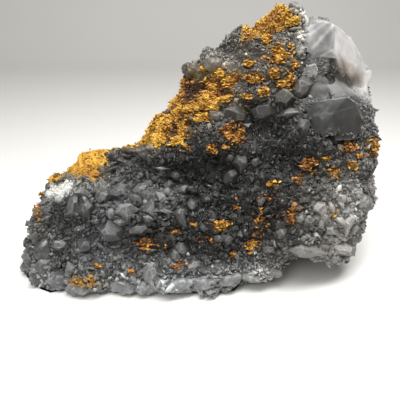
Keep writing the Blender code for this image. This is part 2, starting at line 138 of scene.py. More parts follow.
BODY_SHADE = -0.24  # how much darker the body is than the grains on it: painted shade in the gaps
# A glinting grain's paler tone is a painted highlight; it is made glossy as well.
GLINTS, GLINT_TONE = 0.012, 0.3  # the share of grains that glint, and how much paler they are
CLUSTER_DUST = 0.5  # how much realgar dust lies round a cluster
CRUST_DUST, CRUST_DUST_REACH = 0.6, 5  # how much lies at a crust's rim, and how far it reaches in pixels
TONE_CLOUDS = ((34.0, 0.2, 201), (13.0, 0.16, 202))  # size of the clouds of tone, their strength, salt
WARM_MIDDLE, WARM_CLOUDS = 0.5, (50.0, 0.3, 203)
BODY_GLOSS = 0.2

# Grains of the matrix: heights of the rings between the two tips, their widths, corners in a ring, turn from ring
# to ring, raggedness, and half sizes across, wide and along as shares of the crystal's size
FORMS = {
    "rhomb": ((-0.33, 0.33), (1.0, 1.0), 3, math.pi / 3, 0.16, (0.8, 0.9, 1.0)),
    "tooth": ((-0.3, 0.1), (0.9, 1.0), 5, 0.0, 0.24, (0.6, 0.7, 0.95)),
    "petal": ((-0.55, 0.05, 0.6), (0.66, 1.0, 0.62), 5, 0.15, 0.3, (0.36, 0.74, 1.05)),
    "chip": ((-0.42, 0.4), (0.78, 0.8), 4, 0.0, 0.2, (0.26, 0.66, 1.1)),
    "flake": ((-0.55, 0.05, 0.6), (0.8, 1.0, 0.7), 4, 0.2, 0.25, (1.0, 1.0, 1.0)),
}
# How ragged a crystal's single rings, their heights and its tips are, as shares of its form's raggedness
RAGGED_RINGS, RAGGED_HEIGHTS, RAGGED_TIPS = 0.4, 0.5, 0.7
MOST_RIM = 1.2  # the most that a corner counts as being on a crystal's thin rim
BEND_LEVEL = 0.4  # the square of the way along at which a bend leaves a crystal where it is
GRAIN_SEED = 11
GRAIN_STRETCH = (0.7, 1.15)  # least and greatest share of its size that a grain has across, wide and along
GRAIN_UPRIGHT = 0.45  # how much a grain's long way follows the ground's normal
GRAIN_LIFT = (-0.2, 0.3)  # how far a grain's middle is over the ground, as a share of its size
# Each grade: name, how many, least and greatest size, whether it is smooth, and its forms with their shares
GRAIN_GRADES = (
    ("matrix_petals", 1700, (2.6, 6.4), True, (("petal", 1.0),)),
    ("matrix_grains_large", 2400, (3.0, 5.6), False, (("chip", 0.25), ("rhomb", 0.35), ("tooth", 0.4))),
    ("matrix_grains_middle", 8200, (2.0, 3.6), True, (("chip", 0.3), ("rhomb", 0.35), ("tooth", 0.35))),
    ("matrix_grains_small", 11500, (1.2, 2.2), True, (("chip", 0.2), ("rhomb", 0.4), ("tooth", 0.4))),
)

# Rims of the crusts where the camera sees them, and past the sky line where they reach over it
CRUSTS = {
    "realgar_crust_left": (
        (45, 182), (54, 179), (64, 172.5), (72, 172.5), (83, 176), (100, 179), (101.5, 171.5), (106.5, 163),
        (103.5, 158), (109, 151.5), (117, 149), (122, 134), (100, 132), (80, 144), (60, 158), (42, 170),
    ),
    "realgar_crust_slope": (
        (121, 146), (130, 148), (143, 143.5), (148, 145), (156, 149), (163, 142.5), (170, 144.5), (181, 143),
        (179, 138), (188, 136), (192, 132), (187, 127), (189, 122), (194, 120), (206, 119.5), (211, 115.5),
        (216, 110), (220, 102), (230, 100.5), (234, 95), (231.5, 88), (240, 79.5), (242, 74), (234, 70.5),
        (227, 72.5), (219, 69), (215.5, 69), (209, 78), (204, 80.5), (188, 79), (176, 78), (164, 90),
        (160, 99), (169, 105), (171, 115), (163, 116), (150, 106), (140, 112), (139, 126), (127, 134),
        (114, 142),
    ),
    "realgar_crust_top": (
        (241, 41), (243, 32), (250, 20), (262, 8), (272, 1), (282, 5), (293, 13), (300, 21), (290, 25.5),
        (283, 28), (273, 30), (268.5, 34), (269.5, 43), (264, 42), (260, 34.5), (250, 39.5), (244.5, 43),
    ),
}
RIM_WANDER, WANDER_SIZE, WANDER_SALTS = 3.5, 5.0, (301, 302)  # how many pixels the rims wander
CRUST_STEP = 0.65
CRUST_VIEW = math.radians(40)  # a crust ends where it would no longer be seen from this far above the level
# Where a crust's colour and cover differ: middle, half widths, how much is added to its bloom
BLOOM_AND_SHADE_SPOTS = (
    # The dark spot at (191, 89) is painted shadow in the cave under the knob.
    ((191, 89), (13, 9), -0.9), ((172, 131), (8, 6), -0.7), ((214, 92), (12, 6), -0.2),
    ((94, 173), (16, 5), -0.25), ((160, 136), (14, 10), 0.15), ((222, 76), (12, 5), 0.15),
    ((266, 22), (28, 18), 0.3),
)
# Where it is redder
RUST_SPOTS = (
    ((196, 96), (18, 12), 0.4), ((176, 126), (14, 8), 0.25), ((262, 24), (24, 14), 0.08),
    ((272, 28), (14, 6), 0.16), ((225, 92), (10, 8), 0.15),
)

CRUST_SEED = 500
PEAK, LEFT_END = 16, 33  # corners of OUTLINE between which the crusts lie
OVER_TOP = (0.1, 0.8, 4000)  # the part of the half turn from front to back that they can reach, and its steps
TYPICAL_REACH, TYPICAL_HALF = 130, 62  # the outline's reach and the half thickness that set the grid's steps
VIEW_SLOPE, VIEW_ROOM = 20, 2  # how fast a crust ends where the ground turns from the view, in pixels
CRUST_ENDS, RIM_WIDTH, BODY_LIMITS = -1.5, 4, (-0.5, 1)  # where it ends, and how it grows in from its rim
CRUST_LOW, CRUST_DEEP = 1.8, 5  # how far its top starts, and its underside lies, under the ground
# Size and salt of what shapes a crust
CRUST_WORMS, WORM_SHARES = ((7.0, 311), (4.0, 321)), (0.6, 0.4)
WORM_BEND, WORM_EDGE = 0.6, 5  # how far the winding ridges are bent, in cells, and how narrow they are
CRUST_NOISES = {"swell": (9.0, 331), "clumps": (7.0, 351), "pits": (3.2, 341)}
CRUST_GRIT = (2.4, 361)
HOLE_EDGE, HOLE_LEVEL = 6, 0.62  # the pits' noise makes holes above this level
CLUMP_EDGE, CLUMP_LEVEL = 3.2, 0.36  # the clumps' noise crowds the blades above this level
# What each crust's height, level and bloom are made of, its rust, and its blades: the area that each has, size,
# half thickness and half width as shares of it, how level they lie, and how far they stack up
# The bloom that ridges and grit add, and that holes take away, is partly painted light on the raised parts and
# shade in the pits.
ROUGH_CRUST = {
    "height": {"swell": 2.2, "ridges": 2.8, "grit": 1.8}, "level": {"flat": -0.8, "hollow": -1.2},
    "bloom": {"ridges": 0.36, "grit": 0.36, "more": 0.6}, "rust": 0.3,
}
CRUST_KINDS = {
    "realgar_crust_left": {
        "height": {"flat": 1.2, "swell": 1.6, "ridges": 1.2, "holes": -2.2}, "level": {"flat": 0.0},
        "bloom": {"flat": 0.6, "ridges": 0.18, "holes": -0.6, "more": 1.0}, "rust": 0.0,
        "blades": (3.2, 1.4, (0.4, 0.6), 0.3, 0.3),
    },
    "realgar_crust_slope": {**ROUGH_CRUST, "blades": (2.6, 2.9, (0.28, 0.42), 0.48, 2.4)},
    "realgar_crust_top": {**ROUGH_CRUST, "blades": (1.8, 2.1, (0.26, 0.36), 0.4, 2.4)},
}
BLADES_END, BLADES_BETWEEN = -0.8, 0.08  # how far out blades stand, and how many stand between clumps
BLOOM_BLADES, BLADE_LIMITS = 1.4, (0.05, 1.5)  # how much a crust's bloom changes their number, and its limits
BLADE_LIFT, BLADE_SCATTER = 0.4, 0.5
BLADE_RUST, BLADE_RUST_SPREAD, BLADE_RUST_BY = 0.05, 0.15, {"hollow": 0.5, "redder": 1.0}
BLADE_BLOOM_BY, BLADE_BLOOM_SPREAD = {"flat": 0.42, "more": 0.5, "clumps": 0.4}, 0.12
# A blade: how its way wanders to the right, back and up, how level lines pull it, how it rises off the ground,
# its length, thickness and width as shares of the full ones, its bend, how much painted light makes it paler at
# its end and on top, and how its bloom varies
BLADE_WANDER, LEVEL_PULL, BLADE_RISE = (1.2, 1.0, 0.7), 1.6, 0.3
BLADE_LENGTHS, BLADE_SPREADS, BLADE_BEND = (0.5, 1.0), ((0.6, 1.0), (0.7, 1.2)), 0.8
TOP_AND_END_LIGHT, BLOOM_SPREAD = 0.2, 0.08

# Realgar on the show face, seen at: middle, half widths, flakes, rust from 0 (yellow) to 1 (red-brown)
CLUSTER_SEED, SPECK_SEED = 700, 800
# Layers of a cluster, from dark crumbs to pale leaves: one blade for so many of its flakes, their size, their
# stoutness as above, how far they stand out of the ground, and their bloom
CLUSTER_LAYERS = (
    (1, 2.5, (0.5, 0.8), (0.2, 1.6), 0.26), (1, 2.8, (0.3, 0.7), (1.0, 2.8), 0.47),
    (3, 2.3, (0.24, 0.6), (2.2, 3.2), 0.76),
)
CLUSTER_LEVEL, CLUSTER_SCATTER, CLUSTER_RUST_SPREAD = 0.45, 0.8, 0.2
CLUSTER_ENDS, CLUSTER_FALL, LEAST_FACING = 1.3, 1.6, 0.05  # its reach, how it thins out, and its ground
RAGGED_SIZE, RAGGED_EDGE, RAGGED_LEVEL, RAGGED_LEAST = 7.0, 4, 0.36, 0.02  # the noise that makes it ragged
CLUSTERS = (
    ((279, 56), (13, 9), 84, 0.2), ((285, 80), (9, 8), 60, 0.25), ((265, 92), (6, 4), 24, 0.2),
    ((255, 79), (8, 5), 44, 0.35), ((234.5, 134), (12, 9), 150, 0.75), ((274, 184), (6, 4), 24, 0.5),
    ((309, 164), (8, 6), 44, 0.85), ((331, 173), (7, 6), 44, 0.6), ((351.5, 166), (6, 4), 26, 0.2),
    ((151, 243.5), (12, 6), 54, 0.8), ((290.5, 214), (7, 9), 60, 0.75), ((223, 223.5), (10, 5), 40, 0.3),
    ((261.5, 220), (9, 12), 60, 0.7), ((252.5, 244.5), (8, 4.5), 36, 0.35), ((88, 280.5), (14, 4.5), 50, 0.3),
    ((343.5, 147.5), (9, 4.5), 60, 0.85), ((373, 145), (7, 6), 44, 0.35), ((331.5, 212), (4, 4), 14, 0.3),
    ((212.5, 147.5), (5, 3.5), 20, 0.4),
)
SPECKS = (
    ((267.5, 40), (4, 4), 18, 0.1), ((248, 64), (8, 3.5), 26, 0.15), ((274, 73), (6, 5), 30, 0.15),
    ((247, 97), (5, 3), 14, 0.2), ((226, 146.5), (2.5, 2), 7, 0.5), ((324.5, 158), (4, 2), 10, 0.4),
    ((315, 172), (4, 2), 8, 0.8), ((300, 180), (4, 3), 14, 0.85), ((237, 202), (3, 5), 12, 0.95),
    ((194.5, 223.5), (4, 2.5), 9, 0.3), ((205, 222), (2.5, 2), 5, 0.3), ((174, 232), (9, 2.5), 14, 0.85),
    ((250, 251), (2.5, 2.5), 7, 0.2), ((234, 254), (5, 2.5), 10, 0.5), ((99.5, 265.5), (4, 3), 10, 0.6),
    ((131, 271.5), (3.5, 2.5), 9, 0.6), ((177, 264.5), (6, 4), 16, 0.85), ((365, 154), (8, 4), 26, 0.5),
    ((38, 208), (4, 16), 26, 0.8), ((40, 190), (3, 4), 8, 0.2), ((292, 47), (3, 3), 7, 0.1),
    ((186, 149), (5, 3), 12, 0.2), ((291, 66), (6, 3), 20, 0.15), ((204, 69), (5, 3), 16, 0.1),
    ((270, 200), (10, 8), 10, 0.95), ((210, 240), (14, 5), 10, 0.9), ((240, 112), (14, 8), 8, 0.3),
    ((133, 144), (10, 2.5), 34, 0.05), ((144, 139), (5, 4), 16, 0.05),
)

# Large grey crystals, seen at: middle, half width and height in millimetres, turn, form of the outline, tone
SHOW_CRYSTALS = (
    ((75, 205), (7, 11), -10, "wedge", 0.5), ((112, 228), (12, 11), 24, "hex", 0.54),
    ((128, 211.5), (10, 8), -18, "hex", 0.6), ((111.5, 213), (4, 5), 8, "egg", 0.56),
    ((164, 211.5), (8, 4), -8, "lens", 0.56), ((167, 192.5), (4.5, 4.5), 0, "egg", 0.54),
    ((169, 184.5), (7, 5), 20, "hex", 0.42), ((62, 199), (6, 5.5), 0, "hex", 0.66),
    ((152, 274), (9, 12), 10, "drop", 0.54), ((240.5, 163.5), (7.5, 8.5), 0, "drop", 0.54),
    ((255, 162), (4, 4.5), 0, "egg", 0.5), ((230.5, 177), (7, 10), -38, "egg", 0.26),
    ((300, 249.5), (12, 9), 0, "lens", 0.56), ((330, 229), (5, 7), -38, "lens", 0.62),
    ((320, 208), (6, 6), 20, "hex", 0.66),
    ((283, 97), (8, 8), 20, "hex", 0.44), ((285, 114), (7, 5), 10, "lens", 0.4),
    ((302, 128), (5.5, 6.5), -10, "drop", 0.43), ((262, 111), (11, 9), 18, "hex", 0.26),
    ((233, 115), (12, 8), -14, "hex", 0.36), ((301, 87), (9, 8), 30, "egg", 0.48),
    ((341, 247), (12, 8), -12, "hex", 0.6), ((349, 223), (6, 8), -30, "wedge", 0.66),
    ((261, 201), (4.5, 5), 20, "drop", 0.52), ((280.5, 233), (5, 4.5), 0, "egg", 0.52),
    ((219, 238), (5, 4), 0, "egg", 0.46), ((227.5, 239), (4, 3.5), 0, "egg", 0.44),
    ((308, 220), (5, 5), 30, "hex", 0.56), ((325, 217.5), (4.5, 4), 0, "egg", 0.58),
    ((175, 256), (4.5, 6.5), 14, "egg", 0.46), ((97.5, 220), (3, 4.5), 8, "lens", 0.56),
    ((147, 218), (3, 5), -20, "lens", 0.6), ((80, 250), (4.5, 3), 0, "egg", 0.5),
    ((193, 265.5), (7, 5), 10, "hex", 0.55), ((72, 268), (4.5, 4), 20, "rhomb", 0.55),
    ((192, 205.5), (4, 5), 20, "egg", 0.46), ((176, 174.5), (4.5, 4), 0, "egg", 0.52),
    ((161.5, 167.5), (4, 2.5), -10, "lens", 0.72), ((230, 157), (4, 3.5), 0, "egg", 0.46),
    ((226, 66), (3.5, 4), 30, "drop", 0.7), ((300.5, 219), (4, 3.5), 0, "egg", 0.55),
    ((269, 248), (6, 4), 10, "egg", 0.5), ((138, 152), (7, 3), 10, "rhomb", 0.55),
    ((152, 148), (6, 3), -5, "rhomb", 0.62), ((299, 54), (4, 4), 10, "drop", 0.54),
    ((87, 207), (8, 6), 40, "egg", 0.44), ((148, 196), (9, 6), -30, "egg", 0.46),
    ((150, 207), (9, 8), -20, "wedge", 0.52), ((140, 190), (8, 5), 20, "egg", 0.46),
    ((184, 190), (7, 5), 10, "egg", 0.44), ((180, 213), (8, 5), -30, "wedge", 0.48),
    ((118, 193), (8, 6), 10, "hex", 0.46), ((104, 196), (6, 5), 0, "egg", 0.44),
    ((60, 245), (7, 5), -20, "hex", 0.52), ((85, 246), (7, 6), 10, "egg", 0.38),
    ((140, 228), (8, 6), 15, "hex", 0.44), ((180, 248), (7, 9), 20, "hex", 0.46),
)
# Rough lumps of the matrix, seen at: middle, half sizes across, deep and high in millimetres, turn, tone
BOULDERS = (
    ((196, 73), (15, 11, 8), -24, 0.38), ((214, 66), (12, 9, 7), -20, 0.46),
    # The four lumps of the ledge, at (113-149, 152-170), are dark partly as painted shade under the ledge.
    ((127, 163), (22, 10, 8), -20, 0.12), ((113, 170), (11, 8, 6), 12, 0.16),
    ((149, 157), (11, 8, 6), -14, 0.24), ((136, 152), (15, 8, 4), -6, 0.34),
    ((83, 286), (17, 12, 10), 6, 0.56), ((62, 280), (14, 10, 9), -8, 0.5), ((104, 288), (13, 10, 8), 0, 0.56),
    ((125, 286), (16, 12, 9), -6, 0.6), ((147, 287), (14, 10, 8), 4, 0.58), ((178, 284), (17, 11, 8), 2, 0.6),
    ((204, 283), (14, 10, 8), 0, 0.58), ((229, 279), (15, 10, 7), 5, 0.58), ((252, 277), (14, 10, 6), -5, 0.6),
    ((272, 272), (12, 9, 6), -10, 0.56), ((30, 260), (6, 9, 11), 8, 0.46), ((45, 266), (9, 8, 8), 12, 0.44),
    ((24, 273), (5, 8, 7), -8, 0.44), ((38, 278), (10, 8, 7), 14, 0.42), ((44, 250), (11, 8, 13), -22, 0.34),
    ((36, 236), (6, 7, 9), 10, 0.42), ((346, 250), (11, 9, 8), 0, 0.58), ((354, 236), (8, 8, 9), -10, 0.6),
    ((343, 257), (7, 7, 4), 0, 0.56), ((364, 203), (8, 8, 8), 14, 0.56), ((262, 112), (13, 9, 11), 20, 0.22),
    ((238, 118), (13, 8, 7), -14, 0.3), ((216, 116), (9, 8, 6), -20, 0.4), ((305, 9), (9, 8, 7), 30, 0.56),
    ((296, 8), (8, 8, 5), -30, 0.5), ((305, 30), (4, 8, 12), -10, 0.6), ((240, 27), (8, 7, 6), -20, 0.62),
)
CRYSTAL_SEED = 600
# How the sides of a large crystal vary: their bearing and lean in degrees, and their distance
GEM_TURN, GEM_LEAN, GEM_DRAW = 9, (14, 42), (0.9, 1.05)
# Its three front faces: the step from one to the next in radians, their slope, and their distance
FRONT_STEP, FRONT_SLOPE, FRONT_DRAW = 2.1, 0.36, (0.62, 1.0)
GEM_THICK = (0.6, 1.5)  # its thickness: a share of its lesser half size, and so much more
GEM_SUNK = 0.25  # the share of its thickness that is in the ground
GEM_EDGE = 1.2  # width of the paler strip along its edges
FACE_SHADES, EGG_SHADES = 0.1, 0.04  # how much the tones of its faces differ
PLACE_TONE = 0.35  # how much a large crystal or a lump takes of the tone of its place
VIEW_SHARE, GROUND_SHARE = 0.9, 0.3  # how much it faces the camera, and the way the ground faces
# Lumps: faces along a side of the block that one is rounded from, the points of their two layers of relief
# (size, salt), the height of each layer as a share of the least half size, the mean of the points, and how far
# one lump's relief is from the next one's
LUMP_CELLS = 20
LUMP_POINTS = ((9.0, 61), (4.0, 67))
LUMP_RELIEF, LUMP_FINE, LUMP_MEAN, LUMP_APART = 0.38, 0.1, 0.35, 100.0
LUMP_SUNK = 0.35  # the share of its depth by which a lump's middle is in the ground
LUMP_DARKER, LUMP_RELIEF_TONE = 0.02, 0.1  # how its tone differs from its table's, as a whole and by its relief
LUMP_EDGES = (1.2, 0.6)  # how much each layer of relief counts as an edge
# Planes of an outline: bearing in degrees, and distance from the middle as a share of the half width
GEM_OUTLINES = {
    "hex": ((8, 0.92), (62, 0.9), (118, 0.85), (176, 0.94), (240, 0.88), (300, 0.9)),
    "rhomb": ((35, 0.72), (140, 0.76), (218, 0.72), (322, 0.76)),
    "lens": ((66, 0.62), (90, 0.72), (116, 0.62), (245, 0.62), (270, 0.72), (296, 0.62)),
    "drop": ((0, 0.86), (45, 0.92), (90, 0.84), (135, 0.92), (180, 0.86), (232, 0.62), (308, 0.62)),
    "wedge": ((18, 0.5), (162, 0.5), (90, 1.0), (262, 0.86)),
    "egg": ((0, 0.96), (40, 0.94), (85, 0.95), (130, 0.93), (178, 0.96), (222, 0.94), (270, 0.95), (318, 0.93)),
}

# Calcite: milkiness of each cleavage block, and its corners: where they are seen, and how far in front of the
# leaning plane of the show face
CALCITE_BLOCKS = (
    # the upper mass: its left face, a raised band across it, its bright right face, and the tip at its foot
    (0.37, (
        (303, 24, -24), (310, 14.5, -34), (323, 17, -28), (334, 22.5, -16.5), (334, 38, -10), (332, 51, -4.5),
        (314, 58, -10), (303, 50, -15), (304, 24, -56), (328, 18, -60), (310, 60, -50), (332, 54, -50),
    )),
    (0.88, (
        (333.5, 22.5, -17), (343, 29, -24), (351, 37, -32), (357, 45, -37), (361.5, 55, -40), (366, 63, -42),
        (371, 74, -44), (368, 87, -38), (357, 91, -25), (346, 84, -15), (339, 74, -9), (338, 65, -5),
        (339, 58, -3), (331.8, 51, -5), (333.4, 38, -10.6), (328, 22, -56), (346, 34, -66), (360, 56, -70),
        (369, 78, -68), (342, 88, -56),
    )),
    (0.66, (
        (321, 56.5, -8), (332, 50, -4.5), (340, 58.5, -2.5), (330, 58.5, -6), (330, 58, -30), (324, 54, -24),
        (338, 56, -30),
    )),
    # the shaded ground under it and behind all the lower blocks, and the greyer face below
    (0.26, (
        (306, 56, -22), (326, 55, -14), (338, 58, -13), (340, 84, -20), (342, 92, -20), (328, 104, -14),
        (306, 104, -20), (303, 78, -24), (306, 62, -60), (340, 66, -60), (340, 96, -60), (306, 100, -60),
    )),
    (0.3, (
        (340, 80, -24), (366, 78, -42), (371, 96, -36), (370, 122, -30), (352, 130, -20), (340, 110, -16),
        (345, 84, -70), (370, 90, -76), (368, 120, -66), (344, 118, -60),
    )),
    (0.42, (
        (302, 80, -16), (313, 76, -12), (326, 76, -10), (331, 86, -9), (333, 101, -6), (312, 103, -11),
        (303, 95, -17), (306, 82, -40), (328, 92, -40),
    )),
    # broken strips in the shade under the tip
    (0.5, ((323, 57, -10), (329, 58, -8), (330, 68, -9), (326, 73, -10), (323, 66, -11), (326, 64, -34))),
    (0.28, ((329, 58, -9), (335, 59, -8), (337, 73, -10), (332, 78, -10), (329, 70, -10), (333, 66, -34))),
    (0.55, ((335, 58, -7), (341, 58, -6), (345, 70, -11), (340, 75, -11), (336, 68, -9), (339, 64, -34))),
    (0.34, ((316, 66, -12), (324, 64, -11), (327, 73, -10), (322, 80, -11), (316, 77, -12), (320, 72, -34))),
    (0.4, (
        (302, 56, -16), (318, 56, -9), (325, 59, -9), (323, 67, -10), (312, 66, -10), (302, 68, -17),
        (312, 62, -44),
    )),
    (0.32, ((334, 72, -12), (345, 73, -12), (352, 85, -15), (340, 86, -11), (334, 80, -12), (342, 78, -44))),
    # the white corner, and the pale shelf
    (0.86, (
        (302, 75, -14), (306, 66, -8), (313, 63, -6), (319, 67, -7), (318, 76, -9), (308, 79, -11),
        (308, 72, -30),
    )),
    (0.5, (
        (328, 86, -7), (336, 79, -11), (345, 83.5, -12), (352.6, 88, -12.5), (358, 94, -11), (349, 97, -4),
        (333, 99.5, -2), (329, 93, -4), (335, 84, -44), (357, 96, -44),
    )),
    # the dark block: its large right part, its left lobe, and the lobe in front
    (0.1, (
        (312, 100, -7), (332, 98, -1), (349, 95.5, -3), (357.5, 102, -9), (361.5, 111, -15), (364.4, 121, -19),
        (366, 130, -20), (357, 136, -12), (340, 134, -3), (328, 120, 1), (335, 112, 1.5), (356.5, 106, -8),
        (312, 112, -50), (360, 112, -58), (344, 130, -50),
    )),
    (0.04, (
        (305.5, 106, -8), (312, 100, -5), (332, 100, -1), (335, 111, 1), (328, 116, 1), (305.5, 119, -8),
        (312, 112, -40), (326, 110, -40),
    )),
    (0.08, (
        (305.5, 119, -8), (318, 113, -1), (334, 114, 2), (341, 130, 0), (336, 135, -2), (327, 137, -3),
        (313, 134, -6), (324, 124, 1.5), (314, 126, -40), (330, 126, -40),
    )),
    # pale knobs along the right edge, and grey chunks under them
    (0.95, ((364, 72, -34), (370, 68, -40), (373.5, 72, -40), (371.5, 82, -36), (366, 89, -31), (360, 80, -50))),
    (0.8, (
        (353, 86, -16), (368, 86, -34), (369, 95, -30), (372, 101, -30), (361, 98, -14), (354, 95, -13),
        (362, 92, -50),
    )),
    (0.3, ((349, 94, -7), (362, 96, -14), (366, 99, -18), (366, 110, -18), (359, 108, -12), (360, 100, -40))),
    (0.14, ((332, 132, -5), (352, 130, -10), (358, 137, -13), (350, 141, -9), (334, 141, -5), (345, 136, -44))),
    (0.75, ((366, 96, -22), (371, 97, -26), (373, 102, -26), (369, 106, -22), (365, 103, -18), (369, 100, -44))),
    (0.36, (
        (361, 105, -14), (370, 104, -20), (379, 109, -28), (374, 116, -26), (365, 115, -17), (369, 110, -44),
    )),
    (0.3, ((358, 103, -12), (368, 103, -16), (373, 112, -22), (371, 123, -22), (363, 121, -15), (366, 112, -46))),
    (0.36, ((299, 100, -10), (309, 96, -7), (313, 103, -6), (308, 111, -7), (300, 110, -10), (304, 104, -34))),
)
# Where the calcite's milkiness changes within a block: spots as above, and streaks from one place to another with
# their half width; and where brown shade is painted on it
# The spots that lower the milk at (351, 80), (340, 70) and (350, 70), under the right face, and at (330, 68)
# and (322, 80), under the tip, are painted shade.
MILK_SPOTS = (
    ((351, 80), (11, 6), -0.42), ((340, 70), (5, 9), -0.3), ((350, 70), (10, 8), -0.1),
    ((330, 68), (5, 8), -0.1), ((322, 80), (12, 4), -0.1), ((350, 48), (8, 16), 0.06),
    ((340, 103), (14, 4), 0.12), ((340, 118), (9, 5), 0.06), ((350, 128), (12, 8), -0.05),
    ((309, 30), (7, 16), 0.36), ((318, 18), (10, 4), 0.26), ((326, 40), (5, 10), -0.1),
    ((330, 129), (1.5, 1.2), 0.5), ((365, 88), (4, 8), 0.2),
)
MILK_STREAKS = (
    ((333, 25), (313, 47), 1.9, 0.3), ((334.5, 30), (316, 52), 2.0, -0.12), ((332.6, 33), (332, 48), 1.6, -0.16),
    ((321, 57), (338, 58), 1.1, 0.24), ((332, 50), (321, 56), 1.0, 0.16), ((329, 20), (306, 37), 1.6, 0.2),
    ((325, 19), (308, 27), 1.4, 0.16), ((335, 112), (356.5, 106), 0.9, 0.26),
    ((349, 97.5), (357.5, 103.5), 0.8, 0.3), ((357.5, 104), (364, 121), 0.9, 0.16),
    ((312, 101), (349, 97.5), 0.9, 0.12), ((316, 20), (332, 22), 1.4, 0.24),
    ((336, 80), (357, 93.5), 1.1, 0.14), ((333, 99), (357, 95.5), 0.8, 0.14), ((328, 87), (333, 98), 0.9, 0.18),
    ((306, 107), (313, 101), 0.8, 0.14), ((331, 60), (332, 77), 2.0, -0.14), ((326, 60), (328, 69), 1.4, 0.2),
    ((339, 59), (342, 72), 1.8, 0.16), ((346, 62), (353, 76), 1.6, 0.1),
)
# Where brown shade is painted: under the right face and the tip, and on the dark block's lower part.
BROWN_SHADE_SPOTS = (
    ((351, 78), (12, 8), 1.0), ((342, 66), (8, 8), 0.7), ((330, 66), (6, 10), 0.4), ((350, 124), (16, 10), 0.3),
)
CALCITE_SEED = 40
BLOCK_EDGE = 1.0  # width of the strip along a block's edges before the blocks are melted into one
CALCITE_VOXEL = 0.8
SOFTENED = (0.5, 8)  # how much, and how often, the melted skin is softened
SEAM = 0.9  # how softly one block's milkiness passes into the next
HIDDEN_SLOPE, HIDDEN_FROM = 2.2, 0.2  # how a face counts as hidden as it turns away from the show side
STEPS = ((11.0, 1.0, 401), (4.5, 0.5, 431))  # size of the broken steps, their weight, salt
STEPS_SEEN, STEPS_HIDDEN = 0.3, 3.3  # how deep they are on a seen face, and how much more on a hidden one
WAVE_DEPTH, WAVE_SIZE, WAVE_SALT = 0.6, 5.0, 402
CALCITE_AREA = (
    (304, 20), (318, 8), (335, 18), (355, 36), (365, 50), (376, 72), (376, 100), (368, 116), (364, 130),
    (346, 136), (324, 136), (308, 129), (303, 110), (304, 78), (304, 50),
)
CALCITE_SINK = 10.0  # how far the matrix is sunk behind the calcite
# Where the calcite is seen with no grains of the matrix over it
CALCITE_BARE = (
    (308, 26), (318, 14), (335, 20), (350, 33), (362, 52), (376, 72), (376, 100), (367, 112), (364, 131),
    (346, 137), (324, 137), (307, 129), (304, 112), (310, 98), (310, 82), (314, 70), (312, 60), (306, 50),
)
# Where crumbs of calcite cover its rough places: middle, half widths, how thickly
CRUMB_SPOTS = (
    ((304, 34), (4, 22), 1.4), ((306, 16), (6, 5), 0.4), ((326, 68), (11, 8), 1.0), ((305, 84), (5, 12), 1.0),
    ((311, 61), (9, 5), 1.4), ((366, 108), (8, 8), 1.0), ((316, 79), (8, 3), 0.8), ((309, 101), (5, 6), 0.8),
    ((334, 135), (26, 2.5), 1.2), ((363, 124), (3, 8), 0.8), ((307, 124), (3, 8), 0.8),
)
CRUMBS, CRUMB_SIZES = 2600, (1.0, 2.8)
CRUMBS_HIDDEN = 0.2  # how thickly they cover the hidden sides
CRUMB_UPRIGHT = 0.6  # as for the grains
# A crumb's milkiness: a share of its face's, so much more, how much it varies, and how much more at its rim
CRUMB_MILK, CRUMB_SPREAD, CRUMB_RIM = (0.85, 0.1), 0.1, 0.1

# Where no grain grows
UNDER_CRUST = 2.5  # farther inside a crust's rim than this, in pixels
IN_CALCITE = 2  # deeper in the calcite, in millimetres
ON_CALCITE = 1  # farther inside the rim of the bare calcite, in pixels
LEAST_FRONT = 0.3  # and there on ground that counts as the front by more than this share
UNDER_CRYSTAL = 0.7  # on the inner share of a large crystal's ground
OVER_TABLE = 1  # nearer to the table, in millimetres


def scramble(cells, salt):
    """A number from 0 to 1 for each whole-numbered cell, the same each time for one cell and salt."""
    c = cells.astype(np.int64)
    mixed = (c[..., 0] * 73856093) ^ (c[..., 1] * 19349663) ^ (c[..., 2] * 83492791) ^ (salt * 40503)
    mixed = (mixed & 0xFFFFFFFF).astype(np.uint64)
    for _ in range(2):
        mixed = ((mixed ^ (mixed >> np.uint64(16))) * np.uint64(0x45D9F3B)) & np.uint64(0xFFFFFFFF)
    mixed ^= mixed >> np.uint64(16)
    return mixed.astype(float) / 2**32


def crowded_points(points, cell, salt):
    """Relief from 0 to 1 of flat-sided points that crowd together. Each cell of a lattice holds one octahedral
    pyramid, tilted its own way, whose height falls off with |a|+|b|+|c| along its three axes; the highest
    near a place shows."""
    q = points / cell
    home = np.floor(q)
    highest = np.zeros(len(points))
    for offset in itertools.product((-1, 0, 1), repeat=3):
        at = home + np.array(offset)
        centre = at + POINT_FROM + POINT_ROOM * np.stack([scramble(at, salt + k) for k in range(3)], -1)
        yaw = 2 * np.pi * scramble(at, salt + 3)
        tilt = np.pi * scramble(at, salt + 4)
        away = q - centre
        cy, sy, ct, st = np.cos(yaw), np.sin(yaw), np.cos(tilt), np.sin(tilt)
        first = away[:, 0] * cy * ct + away[:, 1] * sy * ct + away[:, 2] * st
        second = -away[:, 0] * sy + away[:, 1] * cy
        third = -away[:, 0] * cy * st - away[:, 1] * sy * st + away[:, 2] * ct
        reach = POINT_REACH + REACH_SPREAD * scramble(at, salt + 5)
        highest = np.maximum(highest, 1 - (abs(first) + abs(second) + abs(third)) / reach)
    return highest


def soft_noise(points, cell, salt):
    """Smooth noise from 0 to 1: scrambled numbers at the corners of a lattice, blended by 3t^2 - 2t^3."""
    q = points / cell
    home = np.floor(q)
    t = q - home
    t = t * t * (3 - 2 * t)
    total = np.zeros(len(points))
    for offset in itertools.product((0, 1), repeat=3):
        weight = np.prod(np.where(offset, t, 1 - t), axis=1)
        total += weight * scramble(home + offset, salt)
    return total


